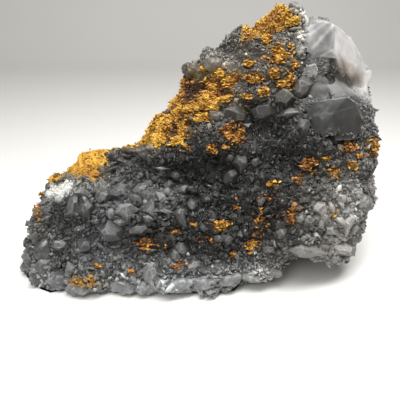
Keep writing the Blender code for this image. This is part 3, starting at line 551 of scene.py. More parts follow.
def worms(points, cell, salt):
    """Winding ridges from 0 to 1: high where soft noise, bent by more of it, is near its middle value."""
    bend = np.stack([soft_noise(points, cell, salt + k) for k in (1, 2, 3)], -1)
    bent = points + WORM_BEND * cell * bend
    return np.clip(1 - WORM_EDGE * abs(soft_noise(bent, cell, salt) - 0.5), 0, 1)


def unit(vectors):
    return vectors / np.maximum(np.linalg.norm(vectors, axis=-1, keepdims=True), TINY)


def box_skin(counts):
    """Lattice points on the skin of a block of counts cells, and its four-sided faces, wound outwards."""
    sides = []
    for axis in range(3):
        a, b = (axis + 1) % 3, (axis + 2) % 3
        i, j = np.meshgrid(np.arange(counts[a]), np.arange(counts[b]), indexing="ij")
        for level in (0, counts[axis]):
            corners = []
            for di, dj in ((0, 0), (1, 0), (1, 1), (0, 1)):
                p = np.empty((*i.shape, 3), int)
                p[..., axis], p[..., a], p[..., b] = level, i + di, j + dj
                corners.append(p.reshape(-1, 3))
            side = np.stack(corners, 1)
            sides.append(side if level else side[:, ::-1])
    quads = np.concatenate(sides)
    lattice, index = np.unique(quads.reshape(-1, 3), axis=0, return_inverse=True)
    return lattice, index.reshape(-1, 4)


def outline_radius(angle):
    """Distance from the outline's centre to the outline, at each angle: where the ray meets its straight side."""
    rim = np.array(OUTLINE, float) - OUTLINE_CENTRE
    bearing = np.arctan2(rim[:, 1], rim[:, 0])
    order = np.argsort(bearing)
    rim, bearing = rim[order], bearing[order]
    start = np.searchsorted(bearing, angle) - 1  # -1 wraps to the last side
    p = rim[start]
    e = rim[(start + 1) % len(rim)] - p
    d = np.stack([np.cos(angle), np.sin(angle)], -1)
    return (p[:, 0] * e[:, 1] - p[:, 1] * e[:, 0]) / (d[:, 0] * e[:, 1] - d[:, 1] * e[:, 0])


def dented(points):
    """Points of the body moved by each dent, less by exp(-(distance/half)^2) away from its middle."""
    front = front_share(points)
    share = np.stack([np.ones(len(points)), front, np.ones(len(points))], -1)
    for at, half, move in DENTS:
        near = np.exp(-(((points[:, [0, 2]] - at) / half) ** 2).sum(1))
        points = points + near[:, None] * move * share
    return points


def outward(points, quads):
    """Unit normals of the points: the sum of the faces round each."""
    p = points[quads]
    face = np.cross(p[:, 2] - p[:, 0], p[:, 3] - p[:, 1])
    total = np.zeros_like(points)
    for corner in range(4):
        np.add.at(total, quads[:, corner], face)
    return unit(total)


def with_relief(points, normals, layers):
    """Points moved along their normals by the broken relief: crowded points of each layer, and the swells and
    hollows of the show face."""
    x, _, z = points.T
    height = -RELIEF_LEVEL - MEAN_POINT * sum(tall for _, tall, _ in layers[len(COARSE_RELIEF):])
    for cell, tall, salt in layers:
        height = height + tall * crowded_points(points, cell, salt)
    facing = np.clip(-SWELL_FACING * normals[:, 1], 0, 1)
    for (lx, lz), (wide, tall), swell in LUMPS:
        height += facing * swell * np.exp(-((x - lx) / wide) ** 2 - ((z - lz) / tall) ** 2)
    moved = points + normals * height[:, None]
    moved[:, 2] = np.maximum(moved[:, 2], 0)
    return moved


def wedge_skin(counts):
    """The wedge as points and faces. A point of a block's skin is drawn in to |(u, w)|^n + |v|^n = 1; (u, w) then
    fills the outline and v the thickness. The relief pushes it along its normal, and the table cuts it flat."""
    lattice, quads = box_skin(counts)
    u, v, w = (2 * lattice / np.array(counts) - 1).T
    shrink = (np.hypot(u, w) ** ROUNDNESS + abs(v) ** ROUNDNESS) ** (1 / ROUNDNESS)
    u, v, w = u / shrink, v / shrink, w / shrink
    reach = outline_radius(np.arctan2(w, u))
    x = OUTLINE_CENTRE[0] + reach * u
    z = OUTLINE_CENTRE[1] + reach * w
    y = MIDDLE_AT_TABLE + LEAN * z + v * (HALF_AT_TABLE - TAPER * z)
    points = np.stack([x, y, z], -1)
    return with_relief(points, outward(points, quads), COARSE_RELIEF + FINE_RELIEF), quads


def seen(points):
    """Where the camera sees the points, in pixels of its frame."""
    away = points - EYE
    depth = away @ AHEAD
    right = FRAME_PX / 2 + FOCAL_PX * away[..., 0] / depth
    return np.stack([right, FRAME_PX / 2 - FOCAL_PX * (away @ ABOVE) / depth], -1)


def sight(place):
    """The directions in which the camera sees places of its frame."""
    place = np.asarray(place, float)
    right, up = (place[..., :1] - FRAME_PX / 2) / FOCAL_PX, (FRAME_PX / 2 - place[..., 1:2]) / FOCAL_PX
    return unit(AHEAD + right * RIGHT + up * ABOVE)


def in_front(corners):
    """Points seen at places of the frame, so many millimetres in front of the plane of the show face."""
    corners = np.array(corners, float)
    way = sight(corners)
    reach = (SHOW_AT_TABLE + SHOW_LEAN * EYE[2] - EYE[1]) / (way[:, 1] - SHOW_LEAN * way[:, 2])
    return EYE + way * (reach - corners[:, 2])[:, None]


def surface_seen(tree, place):
    """The point and normal of the matrix at a place of the camera's frame, or None past its edge."""
    point, normal, _, _ = tree.ray_cast(Vector(EYE), Vector(sight(place)))
    return (np.array(point), np.array(normal)) if point else None


def front_share(points):
    """1 on the front half and 0 on the back half, blended over the middle."""
    middle = MIDDLE_AT_TABLE + LEAN * points[:, 2]
    return np.clip((middle - points[:, 1]) / FRONT_BLEND + 0.5, 0, 1)


def spots(points, table):
    """What the spots of the show face add at each point."""
    at = seen(points)
    total = sum(more * np.exp(-(((at - place) / half) ** 2).sum(-1)) for place, half, more in table)
    return front_share(points) * total


def streaks(points, table):
    """What straight streaks of the show face add at each point: most on the line, and less away from it by
    exp(-(distance/half)^2)."""
    at = seen(points)
    total = np.zeros(len(points))
    for start, end, half, more in table:
        start, side = np.array(start, float), np.subtract(end, start)
        share = np.clip((at - start) @ side / (side @ side), 0, 1)
        total += more * np.exp(-(((at - start - share[:, None] * side) / half) ** 2).sum(-1))
    return front_share(points) * total


def clouds(points, size, strength, salt):
    """Soft noise that swings by strength round 0."""
    return strength * (soft_noise(points, size, salt) - 0.5)


def matrix_values(points, tone):
    """Tone of the matrix from black to white, how warm it is, and how much realgar dust it carries."""
    inside = np.max(list(crust_depth(points).values()), 0)
    round_clusters = spots(points, [(place, half, CLUSTER_DUST) for place, half, _, _ in CLUSTERS])
    round_crusts = CRUST_DUST * np.exp(np.minimum(inside, 0) / CRUST_DUST_REACH)
    return {
        # The tone spots add painted light and shade as well as the rock's own tone.
        "tone": tone + sum(clouds(points, *layer) for layer in TONE_CLOUDS) + spots(points, TONE_AND_LIGHT_SPOTS),
        "warm": WARM_MIDDLE + clouds(points, *WARM_CLOUDS) + spots(points, WARM_SPOTS),
        "dust": np.clip(spots(points, DUST_SPOTS) + round_clusters + round_crusts, 0, 1),
    }


def ring_faces(rings, sides):
    """Triangles of a closed string of rings between two tips, wound outwards for rings that turn left round the
    way from the first tip to the last."""
    here = np.arange(sides)
    after = (here + 1) % sides
    first_tip, last_tip = np.full(sides, rings * sides), np.full(sides, rings * sides + 1)
    faces = [np.stack([first_tip, after, here], 1)]
    for ring in range(rings - 1):
        a, b = ring * sides + here, ring * sides + after
        faces += [np.stack([a, b, b + sides], 1), np.stack([a, b + sides, a + sides], 1)]
    end = (rings - 1) * sides
    faces.append(np.stack([end + here, end + after, last_tip], 1))
    return np.concatenate(faces)


def grown(places, frames, size, form, rng, bend=0.0):
    """Closed crystals of one form as points (crystals, corners, 3), the faces of one, and how far out on the
    thin rim each corner is. Each is a string of rings between two tips; its corners are drawn in and out at
    random, and it is bent by the square of the way along. One that would go under the table is lifted."""
    heights, widths, sides, turn, ragged, halves = FORMS[form]
    count, rings = len(places), len(heights)
    angle = 2 * np.pi * np.arange(sides) / sides + turn * np.arange(rings)[:, None]
    out = np.array(widths)[:, None] * (1 + ragged * rng.uniform(-1, 1, (count, 1, sides)))
    out = out * (1 + RAGGED_RINGS * ragged * rng.uniform(-1, 1, (count, rings, sides)))
    along = np.array(heights)[:, None] + RAGGED_HEIGHTS * ragged * rng.uniform(-1, 1, (count, rings, sides))
    local = np.stack([out * np.cos(angle), out * np.sin(angle), along], -1).reshape(count, -1, 3)
    tips = np.zeros((count, 2, 3))
    tips[:, :, :2] = RAGGED_TIPS * ragged * rng.uniform(-1, 1, (count, 2, 2))
    tips[:, :, 2] = (-1, 1)
    local = np.concatenate([local, tips], 1)
    rim = np.clip(local[..., 1] ** 2 + local[..., 2] ** 2, 0, MOST_RIM)
    local[..., 0] += np.asarray(bend).reshape(-1, 1) * (local[..., 2] ** 2 - BEND_LEVEL)
    scale = size.reshape(count, -1) * np.array(halves)
    points = places[:, None] + np.einsum("gvi,gij->gvj", local * scale[:, None], frames)
    points[..., 2] -= np.minimum(points[..., 2].min(1), 0)[:, None]
    return points, ring_faces(rings, sides), rim


def turned_about(axis, rng):
    """The ways across, wide and along of crystals whose long ways are given, each turned about its own."""
    across = unit(np.cross(axis, rng.normal(size=axis.shape)))
    return np.stack([across, np.cross(axis, across), axis], 1)


def joined(parts):
    """Several (points (n, v, 3), faces, values) as one list of points, faces and values by name."""
    points, faces, values, start = [], [], {}, 0
    for group, one, named in parts:
        count, corners = group.shape[:2]
        points.append(group.reshape(-1, 3))
        each = one[None] + start + corners * np.arange(count)[:, None, None]
        faces.append(each.reshape(-1, one.shape[1]))
        for name, value in named.items():
            values.setdefault(name, []).append(np.broadcast_to(value, (count, corners)).ravel())
        start += count * corners
    return np.concatenate(points), np.concatenate(faces), {k: np.concatenate(v) for k, v in values.items()}


def piece(name, points, faces, material, slot, smooth=False, replaced=(), **values):
    """A mesh that rides on the specimen, from points in millimetres; values are numbers kept at its points."""
    faces = np.asarray(faces)
    count, corners = faces.shape
    mesh = bpy.data.meshes.new(name)
    mesh.vertices.add(len(points))
    mesh.vertices.foreach_set("co", ((points + FRAME_SHIFT) * MM).astype(np.float32).ravel())
    mesh.loops.add(count * corners)
    mesh.loops.foreach_set("vertex_index", faces.astype(np.int32).ravel())
    mesh.polygons.add(count)
    mesh.polygons.foreach_set("loop_start", corners * np.arange(count, dtype=np.int32))
    mesh.update(calc_edges=True)
    mesh.polygons.foreach_set("use_smooth", np.full(count, smooth))
    for key, value in values.items():
        mesh.attributes.new(key, "FLOAT", "POINT").data.foreach_set("value", value.astype(np.float32))
    mesh.materials.append(material)
    obj = bpy.data.objects.new(name, mesh)
    bpy.context.scene.collection.objects.link(obj)
    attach(obj, "root")
    if replaced:
        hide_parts(*replaced)
    return obj


# Materials


def new_material(name):
    made = bpy.data.materials.new(name)
    made.use_nodes = True
    return made, made.node_tree, made.node_tree.nodes["Principled BSDF"]


def stored(tree, name):
    node = tree.nodes.new("ShaderNodeAttribute")
    node.attribute_name = name
    return node.outputs["Fac"]


def noise(tree, size, detail=3.0, bend=0.0, turned=(0, 0, 0), drawn=(1, 1, 1)):
    """Noise whose grain is about size millimetres across, turned by three angles and drawn out along its axes."""
    place = tree.nodes.new("ShaderNodeTexCoord")
    turn = tree.nodes.new("ShaderNodeMapping")
    turn.vector_type = "TEXTURE"
    turn.inputs["Rotation"].default_value = turned
    turn.inputs["Scale"].default_value = drawn
    node = tree.nodes.new("ShaderNodeTexNoise")
    node.inputs["Scale"].default_value = 1 / (size * MM)
    node.inputs["Detail"].default_value = detail
    node.inputs["Distortion"].default_value = bend
    tree.links.new(place.outputs["Object"], turn.inputs["Vector"])
    tree.links.new(turn.outputs["Vector"], node.inputs["Vector"])
    return node.outputs["Fac"]


def ramp(tree, value, *stops):
    """Colours or greys by value: each stop is a place from 0 to 1 and a grey or a colour."""
    node = tree.nodes.new("ShaderNodeValToRGB")
    tree.links.new(value, node.inputs["Fac"])
    for number, (place, colour) in enumerate(stops):
        if number < 2:
            stop = node.color_ramp.elements[number]
            stop.position = place
        else:
            stop = node.color_ramp.elements.new(place)
        colour = (colour,) * 3 if isinstance(colour, (int, float)) else colour
        stop.color = (*colour, 1)
    return node.outputs["Color"]


def maths(tree, first, second, operation="ADD", clamp=False):
    node = tree.nodes.new("ShaderNodeMath")
    node.operation = operation
    node.use_clamp = clamp
    for socket, value in zip(node.inputs, (first, second)):
        if isinstance(value, (int, float)):
            socket.default_value = value
        else:
            tree.links.new(value, socket)
    return node.outputs["Value"]


def swing(tree, value, height):
    """A noise value turned to swing by height round 0."""
    return maths(tree, maths(tree, value, 0.5, "SUBTRACT"), height, "MULTIPLY")


def blended(tree, factor, first, second, way="MIX"):
    node = tree.nodes.new("ShaderNodeMix")
    node.data_type = "RGBA"
    node.blend_type = way
    sockets = node.inputs["Factor"], node.inputs[6], node.inputs[7]
    for socket, value in zip(sockets, (factor, first, second)):
        if isinstance(value, tuple):
            socket.default_value = (*value, 1)
        elif isinstance(value, (int, float)):
            socket.default_value = value
        else:
            tree.links.new(value, socket)
    return node.outputs[2]


def bumped(tree, height, distance, strength=1.0):
    node = tree.nodes.new("ShaderNodeBump")
    node.inputs["Distance"].default_value = distance * MM
    node.inputs["Strength"].default_value = strength
    tree.links.new(height, node.inputs["Height"])
    return node.outputs["Normal"]


def soft_inside(shader, weight, reach):
    """Light that spreads under the surface by about reach millimetres."""
    shader.inputs["Subsurface Weight"].default_value = weight
    shader.inputs["Subsurface Radius"].default_value = (1.0, 1.0, 1.0)
    shader.inputs["Subsurface Scale"].default_value = reach * MM


GREY_RAMP = (
    (0.0, (0.006, 0.006, 0.006)), (0.25, (0.024, 0.024, 0.024)), (0.5, (0.098, 0.098, 0.098)),
    (0.75, (0.28, 0.28, 0.28)), (1.0, (0.7, 0.7, 0.7)),
)
DUST_RAMP = ((0.0, (0.01, 0.006, 0.002)), (0.5, (0.12, 0.082, 0.026)), (1.0, (0.5, 0.36, 0.12)))
COOL, WARM = (0.94, 1.0, 1.03), (1.1, 1.0, 0.87)
YELLOW_RAMP = (
    (0.0, (0.03, 0.012, 0.004)), (0.3, (0.15, 0.056, 0.01)), (0.6, (0.46, 0.23, 0.025)),
    (1.0, (0.74, 0.48, 0.075)),
)
RUSTY_RAMP = (
    (0.0, (0.02, 0.008, 0.004)), (0.35, (0.1, 0.033, 0.011)), (0.7, (0.31, 0.115, 0.032)),
    (1.0, (0.58, 0.28, 0.075)),
)
MILK_RAMP = (
    (0.0, (0.028, 0.029, 0.027)), (0.35, (0.085, 0.084, 0.078)), (0.7, (0.25, 0.243, 0.235)),
    (1.0, (0.46, 0.447, 0.435)),
)
# The tint that darkens and browns the calcite where brown shade is painted
BROWN_SHADE = (0.9, 0.76, 0.62)
GREY_IOR, MILK_IOR = 1.5, 1.55
CRYSTAL_RIM, BLOCK_RIM = 0.13, 0.05  # how much paler a large crystal and a calcite block are at their edges
STEEP, DRAWN = (0.0, 0.5, 0.3), (1, 3, 9)  # how the calcite's cleavage lines are turned and drawn out


def matrix_colour(tree, tone):
    """Grey by tone, cool or warm, and ochre where realgar dust lies."""
    grey = ramp(tree, tone, *GREY_RAMP)
    tinted = blended(tree, 1.0, grey, blended(tree, stored(tree, "warm"), COOL, WARM), "MULTIPLY")
    return blended(tree, stored(tree, "dust"), tinted, ramp(tree, tone, *DUST_RAMP))


def matrix_material():
    """Grey crystalline calcite: each crystal has its own tone and gloss, clouded by soft veils."""
    made, tree, shader = new_material("matrix")
    veils = swing(tree, noise(tree, size=3.0), height=0.16)
    tone = maths(tree, stored(tree, "tone"), veils, clamp=True)
    tree.links.new(matrix_colour(tree, tone), shader.inputs["Base Color"])
    tree.links.new(ramp(tree, stored(tree, "gloss"), (0.0, 0.65), (1.0, 0.2)), shader.inputs["Roughness"])
    pits = bumped(tree, noise(tree, size=0.9, detail=2.0), distance=0.1, strength=0.35)
    tree.links.new(pits, shader.inputs["Normal"])
    shader.inputs["IOR"].default_value = GREY_IOR
    soft_inside(shader, weight=0.35, reach=2.0)
    return made


def crystal_material():
    """Larger crystals of the matrix: cloudy and a little see-through, paler along their edges."""
    made, tree, shader = new_material("matrix_crystal")
    veils = swing(tree, noise(tree, size=4.0, detail=4.0, bend=1.5), height=0.5)
    tone = maths(tree, stored(tree, "tone"), veils)
    tone = maths(tree, tone, maths(tree, stored(tree, "edge"), CRYSTAL_RIM, "MULTIPLY"), clamp=True)
    tree.links.new(matrix_colour(tree, tone), shader.inputs["Base Color"])
    gloss = ramp(tree, noise(tree, size=2.0, detail=2.0), (0.3, 0.36), (0.7, 0.6))
    tree.links.new(gloss, shader.inputs["Roughness"])
    pits = bumped(tree, noise(tree, size=1.6, detail=3.0), distance=0.15, strength=0.5)
    tree.links.new(pits, shader.inputs["Normal"])
    shader.inputs["IOR"].default_value = GREY_IOR
    shader.inputs["Transmission Weight"].default_value = 0.15
    soft_inside(shader, weight=0.3, reach=3.0)
    return made


def realgar_material():
    """Crumbly realgar: yellow on its tops and orange-brown in its hollows, partly as painted light and shade, and
    redder where it is less weathered.
    """
    made, tree, shader = new_material("realgar")
    mottle = swing(tree, noise(tree, size=1.6), height=0.4)
    bloom = maths(tree, stored(tree, "bloom"), mottle, clamp=True)
    yellow, rusty = ramp(tree, bloom, *YELLOW_RAMP), ramp(tree, bloom, *RUSTY_RAMP)
    tree.links.new(blended(tree, stored(tree, "rust"), yellow, rusty), shader.inputs["Base Color"])
    shader.inputs["Roughness"].default_value = 0.6
    shader.inputs["Specular IOR Level"].default_value = 0.3
    pits = bumped(tree, noise(tree, size=0.7), distance=0.2, strength=0.6)
    tree.links.new(pits, shader.inputs["Normal"])
    return made


def calcite_material():
    """Milky calcite: greyer and clearer where there is less milk, with white veils, fine cleavage lines that run
    steeply down its faces, paler edges and painted brown shade under its overhangs."""
    made, tree, shader = new_material("calcite")
    lines = noise(tree, size=1.5, bend=0.3, turned=STEEP, drawn=DRAWN)
    veils = swing(tree, noise(tree, size=13.0, detail=6.0, bend=1.2), height=0.5)
    milk = maths(tree, stored(tree, "milk"), veils)
    milk = maths(tree, milk, swing(tree, lines, height=0.16))
    milk = maths(tree, milk, maths(tree, stored(tree, "edge"), BLOCK_RIM, "MULTIPLY"), clamp=True)
    colour = ramp(tree, milk, *MILK_RAMP)
    colour = blended(tree, stored(tree, "stain"), colour, blended(tree, 1.0, colour, BROWN_SHADE, "MULTIPLY"))
    tree.links.new(colour, shader.inputs["Base Color"])
    tree.links.new(ramp(tree, milk, (0.0, 0.4), (1.0, 0.1)), shader.inputs["Transmission Weight"])
    tree.links.new(ramp(tree, noise(tree, size=6.0), (0.3, 0.42), (0.7, 0.6)), shader.inputs["Roughness"])
    relief = maths(tree, noise(tree, size=6.0, detail=4.0), lines)
    tree.links.new(bumped(tree, relief, distance=0.5, strength=0.3), shader.inputs["Normal"])
    shader.inputs["IOR"].default_value = MILK_IOR
    shader.inputs["Specular IOR Level"].default_value = 0.35
    soft_inside(shader, weight=0.75, reach=8.0)
    return made


# The matrix


def scattered(points, quads, count, weight, rng):
    """Places spread over the skin, as many to an area as weight says and at an even pace, and their faces."""
    corners = points[quads]
    cross = np.cross(corners[:, 2] - corners[:, 0], corners[:, 3] - corners[:, 1])
    total = np.cumsum(np.linalg.norm(cross, axis=1) * weight)
    picks = (np.arange(count) + rng.random(count)) / count * total[-1]
    face = np.searchsorted(total, picks)
    s, t = rng.random((2, count, 1))
    p = corners[face]
    return (p[:, 0] * (1 - s) + p[:, 1] * s) * (1 - t) + (p[:, 3] * (1 - s) + p[:, 2] * s) * t, face


def crust_depth(points):
    """How far inside each crust's rim the points are seen, in pixels, above 0 inside and below 0 outside."""
    wander = np.stack([clouds(points, WANDER_SIZE, RIM_WANDER, salt) for salt in WANDER_SALTS], -1)
    return {name: rim_depth(seen(points) + wander, np.array(rim, float)) for name, rim in CRUSTS.items()}


def rim_depth(flat, rim):
    """Distance to the nearest side of the rim, above 0 inside it and below 0 outside."""
    after = np.roll(rim, -1, 0)
    sides = after - rim
    distance = np.full(len(flat), np.inf)
    crossed = np.zeros(len(flat), int)
    x, h = flat.T
    for p, q, side in zip(rim, after, sides):
        away = flat - p
        along = np.clip(away @ side / (side @ side), 0, 1)
        distance = np.minimum(distance, np.linalg.norm(away - along[:, None] * side, axis=1))
        rise = side[1] if side[1] else 1.0
        crossed += ((p[1] > h) != (q[1] > h)) & (x < p[0] + (h - p[1]) * side[0] / rise)
    return np.where(crossed % 2 == 1, distance, -distance)


def open_ground(points, normals):
    """Which points of the matrix are bare: not on its underside, under a crust, in the calcite or behind one of
    the large crystals."""
    inside = np.max(list(crust_depth(points).values()), 0)
    over = np.array([0, -math.cos(CRUST_VIEW), math.sin(CRUST_VIEW)])
    covered = (inside > UNDER_CRUST) & (normals @ over > 0)
    for _, normals_in, depths, centre in calcite_planes():
        covered |= ((points - centre) @ normals_in.T < depths - IN_CALCITE).all(1)
    on_calcite = rim_depth(seen(points), np.array(CALCITE_BARE, float)) > ON_CALCITE
    covered |= on_calcite & (front_share(points) > LEAST_FRONT)
    at = seen(points)
    facing = (normals * (points - EYE)).sum(1) < 0
    for place, half, turn, _, _ in SHOW_CRYSTALS:
        c, s = math.cos(math.radians(turn)), math.sin(math.radians(turn))
        away = (at - place) @ np.array([[c, s], [-s, c]]).T
        covered |= facing & (((away / half) ** 2).sum(1) < UNDER_CRYSTAL)
    return ~covered & (points[:, 2] > OVER_TABLE)


def matrix_pieces(material):
    """The matrix's body, and the grains that cover it. Returns the body's points and faces."""
    points, quads = wedge_skin(SKIN_CELLS)
    on_table = points[:, 2] <= 0
    front = front_share(points)
    behind = np.clip(rim_depth(seen(points), np.array(CALCITE_AREA, float)), 0, CALCITE_SINK)
    points = dented(points - outward(points, quads) * (GRAIN_ROOM + behind * front)[:, None])
    points[:, 2] = np.where(on_table, 0, np.maximum(points[:, 2], 0))
    # The body is painted darker than the grains: painted shade in the gaps between them.
    piece("matrix_body", points, quads, material, "matrix", replaced=["matrix"],
          gloss=np.full(len(points), BODY_GLOSS),
          **matrix_values(points, MATRIX_TONE + BODY_SHADE + spots(points, BODY_SPOTS)))
    middle = points[quads].mean(1)
    normals = outward(points, quads)[quads].mean(1)
    bare = open_ground(middle, normals).astype(float)
    rng = np.random.default_rng(GRAIN_SEED)
    for name, count, sizes, smooth, shares in GRAIN_GRADES:
        groups = []
        for form, share in shares:
            number = round(count * share)
            place, face = scattered(points, quads, number, bare, rng)
            size = sizes[0] * (sizes[1] / sizes[0]) ** rng.random(number) * (1 + spots(place, SIZE_SPOTS))
            size = size[:, None] * rng.uniform(*GRAIN_STRETCH, (number, 3))
            axis = unit(GRAIN_UPRIGHT * normals[face] + rng.normal(size=(number, 3)))
            axis *= np.where((axis * normals[face]).sum(1) < 0, -1, 1)[:, None]
            frames = turned_about(axis, rng)
            lift = rng.uniform(*GRAIN_LIFT, number) * size[:, 0]
            group, faces, rim = grown(place + normals[face] * lift[:, None], frames, size, form, rng)
            # A few grains are painted paler as glints.
            glint = rng.random(number) < GLINTS
            tone = MATRIX_TONE + TONE_SPREAD * rng.normal(size=number) + GLINT_TONE * glint
            values = matrix_values(place, tone)
            values["gloss"] = np.maximum(rng.random(number) ** 2, glint)
            values = {key: value[:, None] for key, value in values.items()}
            # Paler at the thin rim: painted light through the rim.
            values["tone"] = values["tone"] + RIM_LIGHT * (rim - 0.5)
            groups.append((group, faces, values))
        whole, faces, values = joined(groups)
        piece(name, whole, faces, material, "matrix", smooth, **values)
    return points, quads


# Bodies bounded by planes: larger crystals and calcite

ASKEW = (0.31, 0.52, 0.79)  # a way that no plane faces
WIDE_FACE = 5  # half width of a plane's square before it is cut, as a share of the farthest plane's distance
MOST_INSET = 0.5  # the most that the strip along a face's edges takes of the way to its middle
LEAST_CROSS = 1  # corners nearer to one line than this, by twice the area between them, give no plane
ON_PLANE = 1e-6  # how far past a plane a corner may be and still count as on it


def cut(face, normal, depth):
    """What is left of a flat face after all that lies past a plane is cut off."""
    over = face @ normal - depth
    after, over_after = np.roll(face, -1, 0), np.roll(over, -1)
    crossing = (over > 0) != (over_after > 0)
    share = over / np.where(crossing, over - over_after, 1)
    at = face + (after - face) * share[:, None]
    return np.stack([face, at], 1).reshape(-1, 3)[np.stack([over <= 0, crossing], 1).ravel()]


def flat_faces(normals, depths):
    """The faces of the body that planes bound: a wide square on each plane, cut by all the others."""
    faces = []
    wide = WIDE_FACE * depths.max()
    for k, (normal, depth) in enumerate(zip(normals, depths)):
        a = unit(np.cross(normal, ASKEW))
        b = np.cross(normal, a)
        face = normal * depth + wide * np.array([a + b, b - a, -a - b, a - b])
        for other, limit in zip(np.delete(normals, k, 0), np.delete(depths, k)):
            face = cut(face, other, limit) if len(face) else face
        if len(face) > 2:
            faces.append(face)
    return faces


def gem(normals, depths, inset, spread, rng):
    """A body bounded by planes, as points, triangles, and two values at each point: 1 at an edge and 0 inside,
    and a shade of its own for each face. A face is a strip round its rim and a fan of triangles inside that."""
    outer, inner, centres, shades, strips, fans = [], [], [], [], [], []
    total = 0
    for face in flat_faces(normals, depths):
        count = len(face)
        centre = face.mean(0)
        reach = np.linalg.norm(face - centre, axis=1).mean()
        outer.append(face)
        inner.append(face + (centre - face) * min(inset / max(reach, TINY), MOST_INSET))
        centres.append(centre)
        shade = spread * rng.normal()
        shades.append(np.full(count, shade))
        here, after = total + np.arange(count), total + (np.arange(count) + 1) % count
        strips.append((here, after))
        fans.append(np.full(count, len(centres) - 1))
        total += count
    outer, inner, centres = np.concatenate(outer), np.concatenate(inner), np.array(centres)
    corners, index = np.unique(np.round(outer, 3), axis=0, return_inverse=True)
    index = index.ravel()
    here, after = (np.concatenate([pair[k] for pair in strips]) for k in (0, 1))
    fan = np.concatenate(fans)
    start, heart = len(corners), len(corners) + total
    triangles = np.concatenate([
        np.stack([index[here], index[after], start + after], 1),
        np.stack([index[here], start + after, start + here], 1),
        np.stack([start + here, start + after, heart + fan], 1),
    ])
    shade = np.concatenate([np.zeros(start), np.concatenate(shades), [s[0] for s in shades]])
    edge = np.concatenate([np.ones(start), np.zeros(total + len(centres))])
    triangles = triangles[(triangles[:, 0] != triangles[:, 1])]
    return np.concatenate([corners, inner, centres]), triangles, edge, shade


def gem_planes(outline, half, thick, rng):
    """Planes of a crystal that stands out of the show face: sides round its outline that draw in as they come
    forward, three faces in front, and a flat back. Its front is along -Y."""
    normals, depths = [], []
    for bearing, share in GEM_OUTLINES[outline]:
        a = math.radians(bearing + rng.uniform(-GEM_TURN, GEM_TURN))
        lean = math.radians(rng.uniform(*GEM_LEAN))
        flat = np.array([math.cos(a) / half[0], math.sin(a) / half[1]])
        depths.append(share * rng.uniform(*GEM_DRAW) / np.linalg.norm(flat) * math.cos(lean))
        flat = unit(flat)
        normals.append([flat[0] * math.cos(lean), -math.sin(lean), flat[1] * math.cos(lean)])
    tilt = rng.uniform(0, 2 * math.pi)
    for number in range(3):
        a = tilt + FRONT_STEP * number
        normals.append(unit(np.array([FRONT_SLOPE * math.cos(a), -1, FRONT_SLOPE * math.sin(a)])))
        depths.append(thick * rng.uniform(*FRONT_DRAW))
    normals.append([0, 1, 0])
    depths.append(thick)
    return np.array(normals), np.array(depths)


def standing(tree, place, turn):
    """Where something stands on the show face, and its ways right, back and up: mostly as it is seen and partly
    as the ground faces, turned by turn degrees. None past the edge."""
    found = surface_seen(tree, place)
    if found is None:
        return None
    point, normal = found
    back = unit(VIEW_SHARE * sight(place) - GROUND_SHARE * normal)
    right = unit(np.cross(back, (0, 0, 1.0)))
    up = np.cross(right, back)
    c, s = math.cos(math.radians(turn)), math.sin(math.radians(turn))
    return point, np.stack([right * c + up * s, back, up * c - right * s])


def show_crystals(tree, material):
    """The larger grey crystals of the show face."""
    groups = []
    for number, (place, half, turn, outline, tone) in enumerate(SHOW_CRYSTALS):
        found = standing(tree, place, turn)
        if found is None:
            continue
        point, ways = found
        rng = np.random.default_rng(CRYSTAL_SEED + number)
        thick = GEM_THICK[0] * min(half) + GEM_THICK[1]
        shades = EGG_SHADES if outline == "egg" else FACE_SHADES
        corners, faces, edge, shade = gem(*gem_planes(outline, half, thick, rng), GEM_EDGE, shades, rng)
        corners = point - ways[1] * (GRAIN_ROOM + GEM_SUNK * thick) + corners @ ways
        corners[:, 2] = np.maximum(corners[:, 2], 0)
        values = matrix_values(corners, 0.0)
        values["tone"] = PLACE_TONE * values["tone"] + tone + shade
        groups.append((corners[None], faces, {"edge": edge, **values}))
    whole, faces, values = joined(groups)
    piece("matrix_crystals", whole, faces, material, "matrix", smooth=True, **values)


def boulders(tree, material):
    """Rough lumps of the show face: balls stretched to their half sizes, with the relief of crowded points."""
    lattice, quads = box_skin((LUMP_CELLS,) * 3)
    ball = unit(lattice - LUMP_CELLS / 2)
    groups = []
    for number, (place, half, turn, tone) in enumerate(BOULDERS):
        found = standing(tree, place, turn)
        if found is None:
            continue
        point, ways = found
        local = ball * half
        own = local + LUMP_APART * number
        relief, fine = (crowded_points(own, cell, salt) - LUMP_MEAN for cell, salt in LUMP_POINTS)
        local = local + ball * min(half) * (LUMP_RELIEF * relief + LUMP_FINE * fine)[:, None]
        corners = point + ways[1] * LUMP_SUNK * half[1] + local @ ways
        corners[:, 2] = np.maximum(corners[:, 2], 0)
        edge = np.clip(LUMP_EDGES[0] * relief + LUMP_EDGES[1] * fine, 0, 1)
        values = matrix_values(corners, 0.0)
        values["tone"] = PLACE_TONE * values["tone"] + tone - LUMP_DARKER + LUMP_RELIEF_TONE * relief
        groups.append((corners[None], quads, {"edge": edge, **values}))
    whole, faces, values = joined(groups)
    piece("matrix_lumps", whole, faces, material, "matrix", smooth=True, **values)


def hull_planes(corners):
    """Planes round a set of corners: those through three of them that have all the others behind them."""
    triples = np.array(list(itertools.combinations(range(len(corners)), 3)))
    a, b, c = (corners[triples[:, k]] for k in range(3))
    normals = np.cross(b - a, c - a)
    wide = np.linalg.norm(normals, axis=1) > LEAST_CROSS
    normals, a = unit(normals[wide]), a[wide]
    normals, a = np.concatenate([normals, -normals]), np.concatenate([a, a])
    depths = (normals * a).sum(1)
    behind = (corners @ normals.T <= depths + ON_PLANE).all(0)
    planes = np.unique(np.round(np.column_stack([normals, depths])[behind], 4), axis=0)
    return planes[:, :3], planes[:, 3]


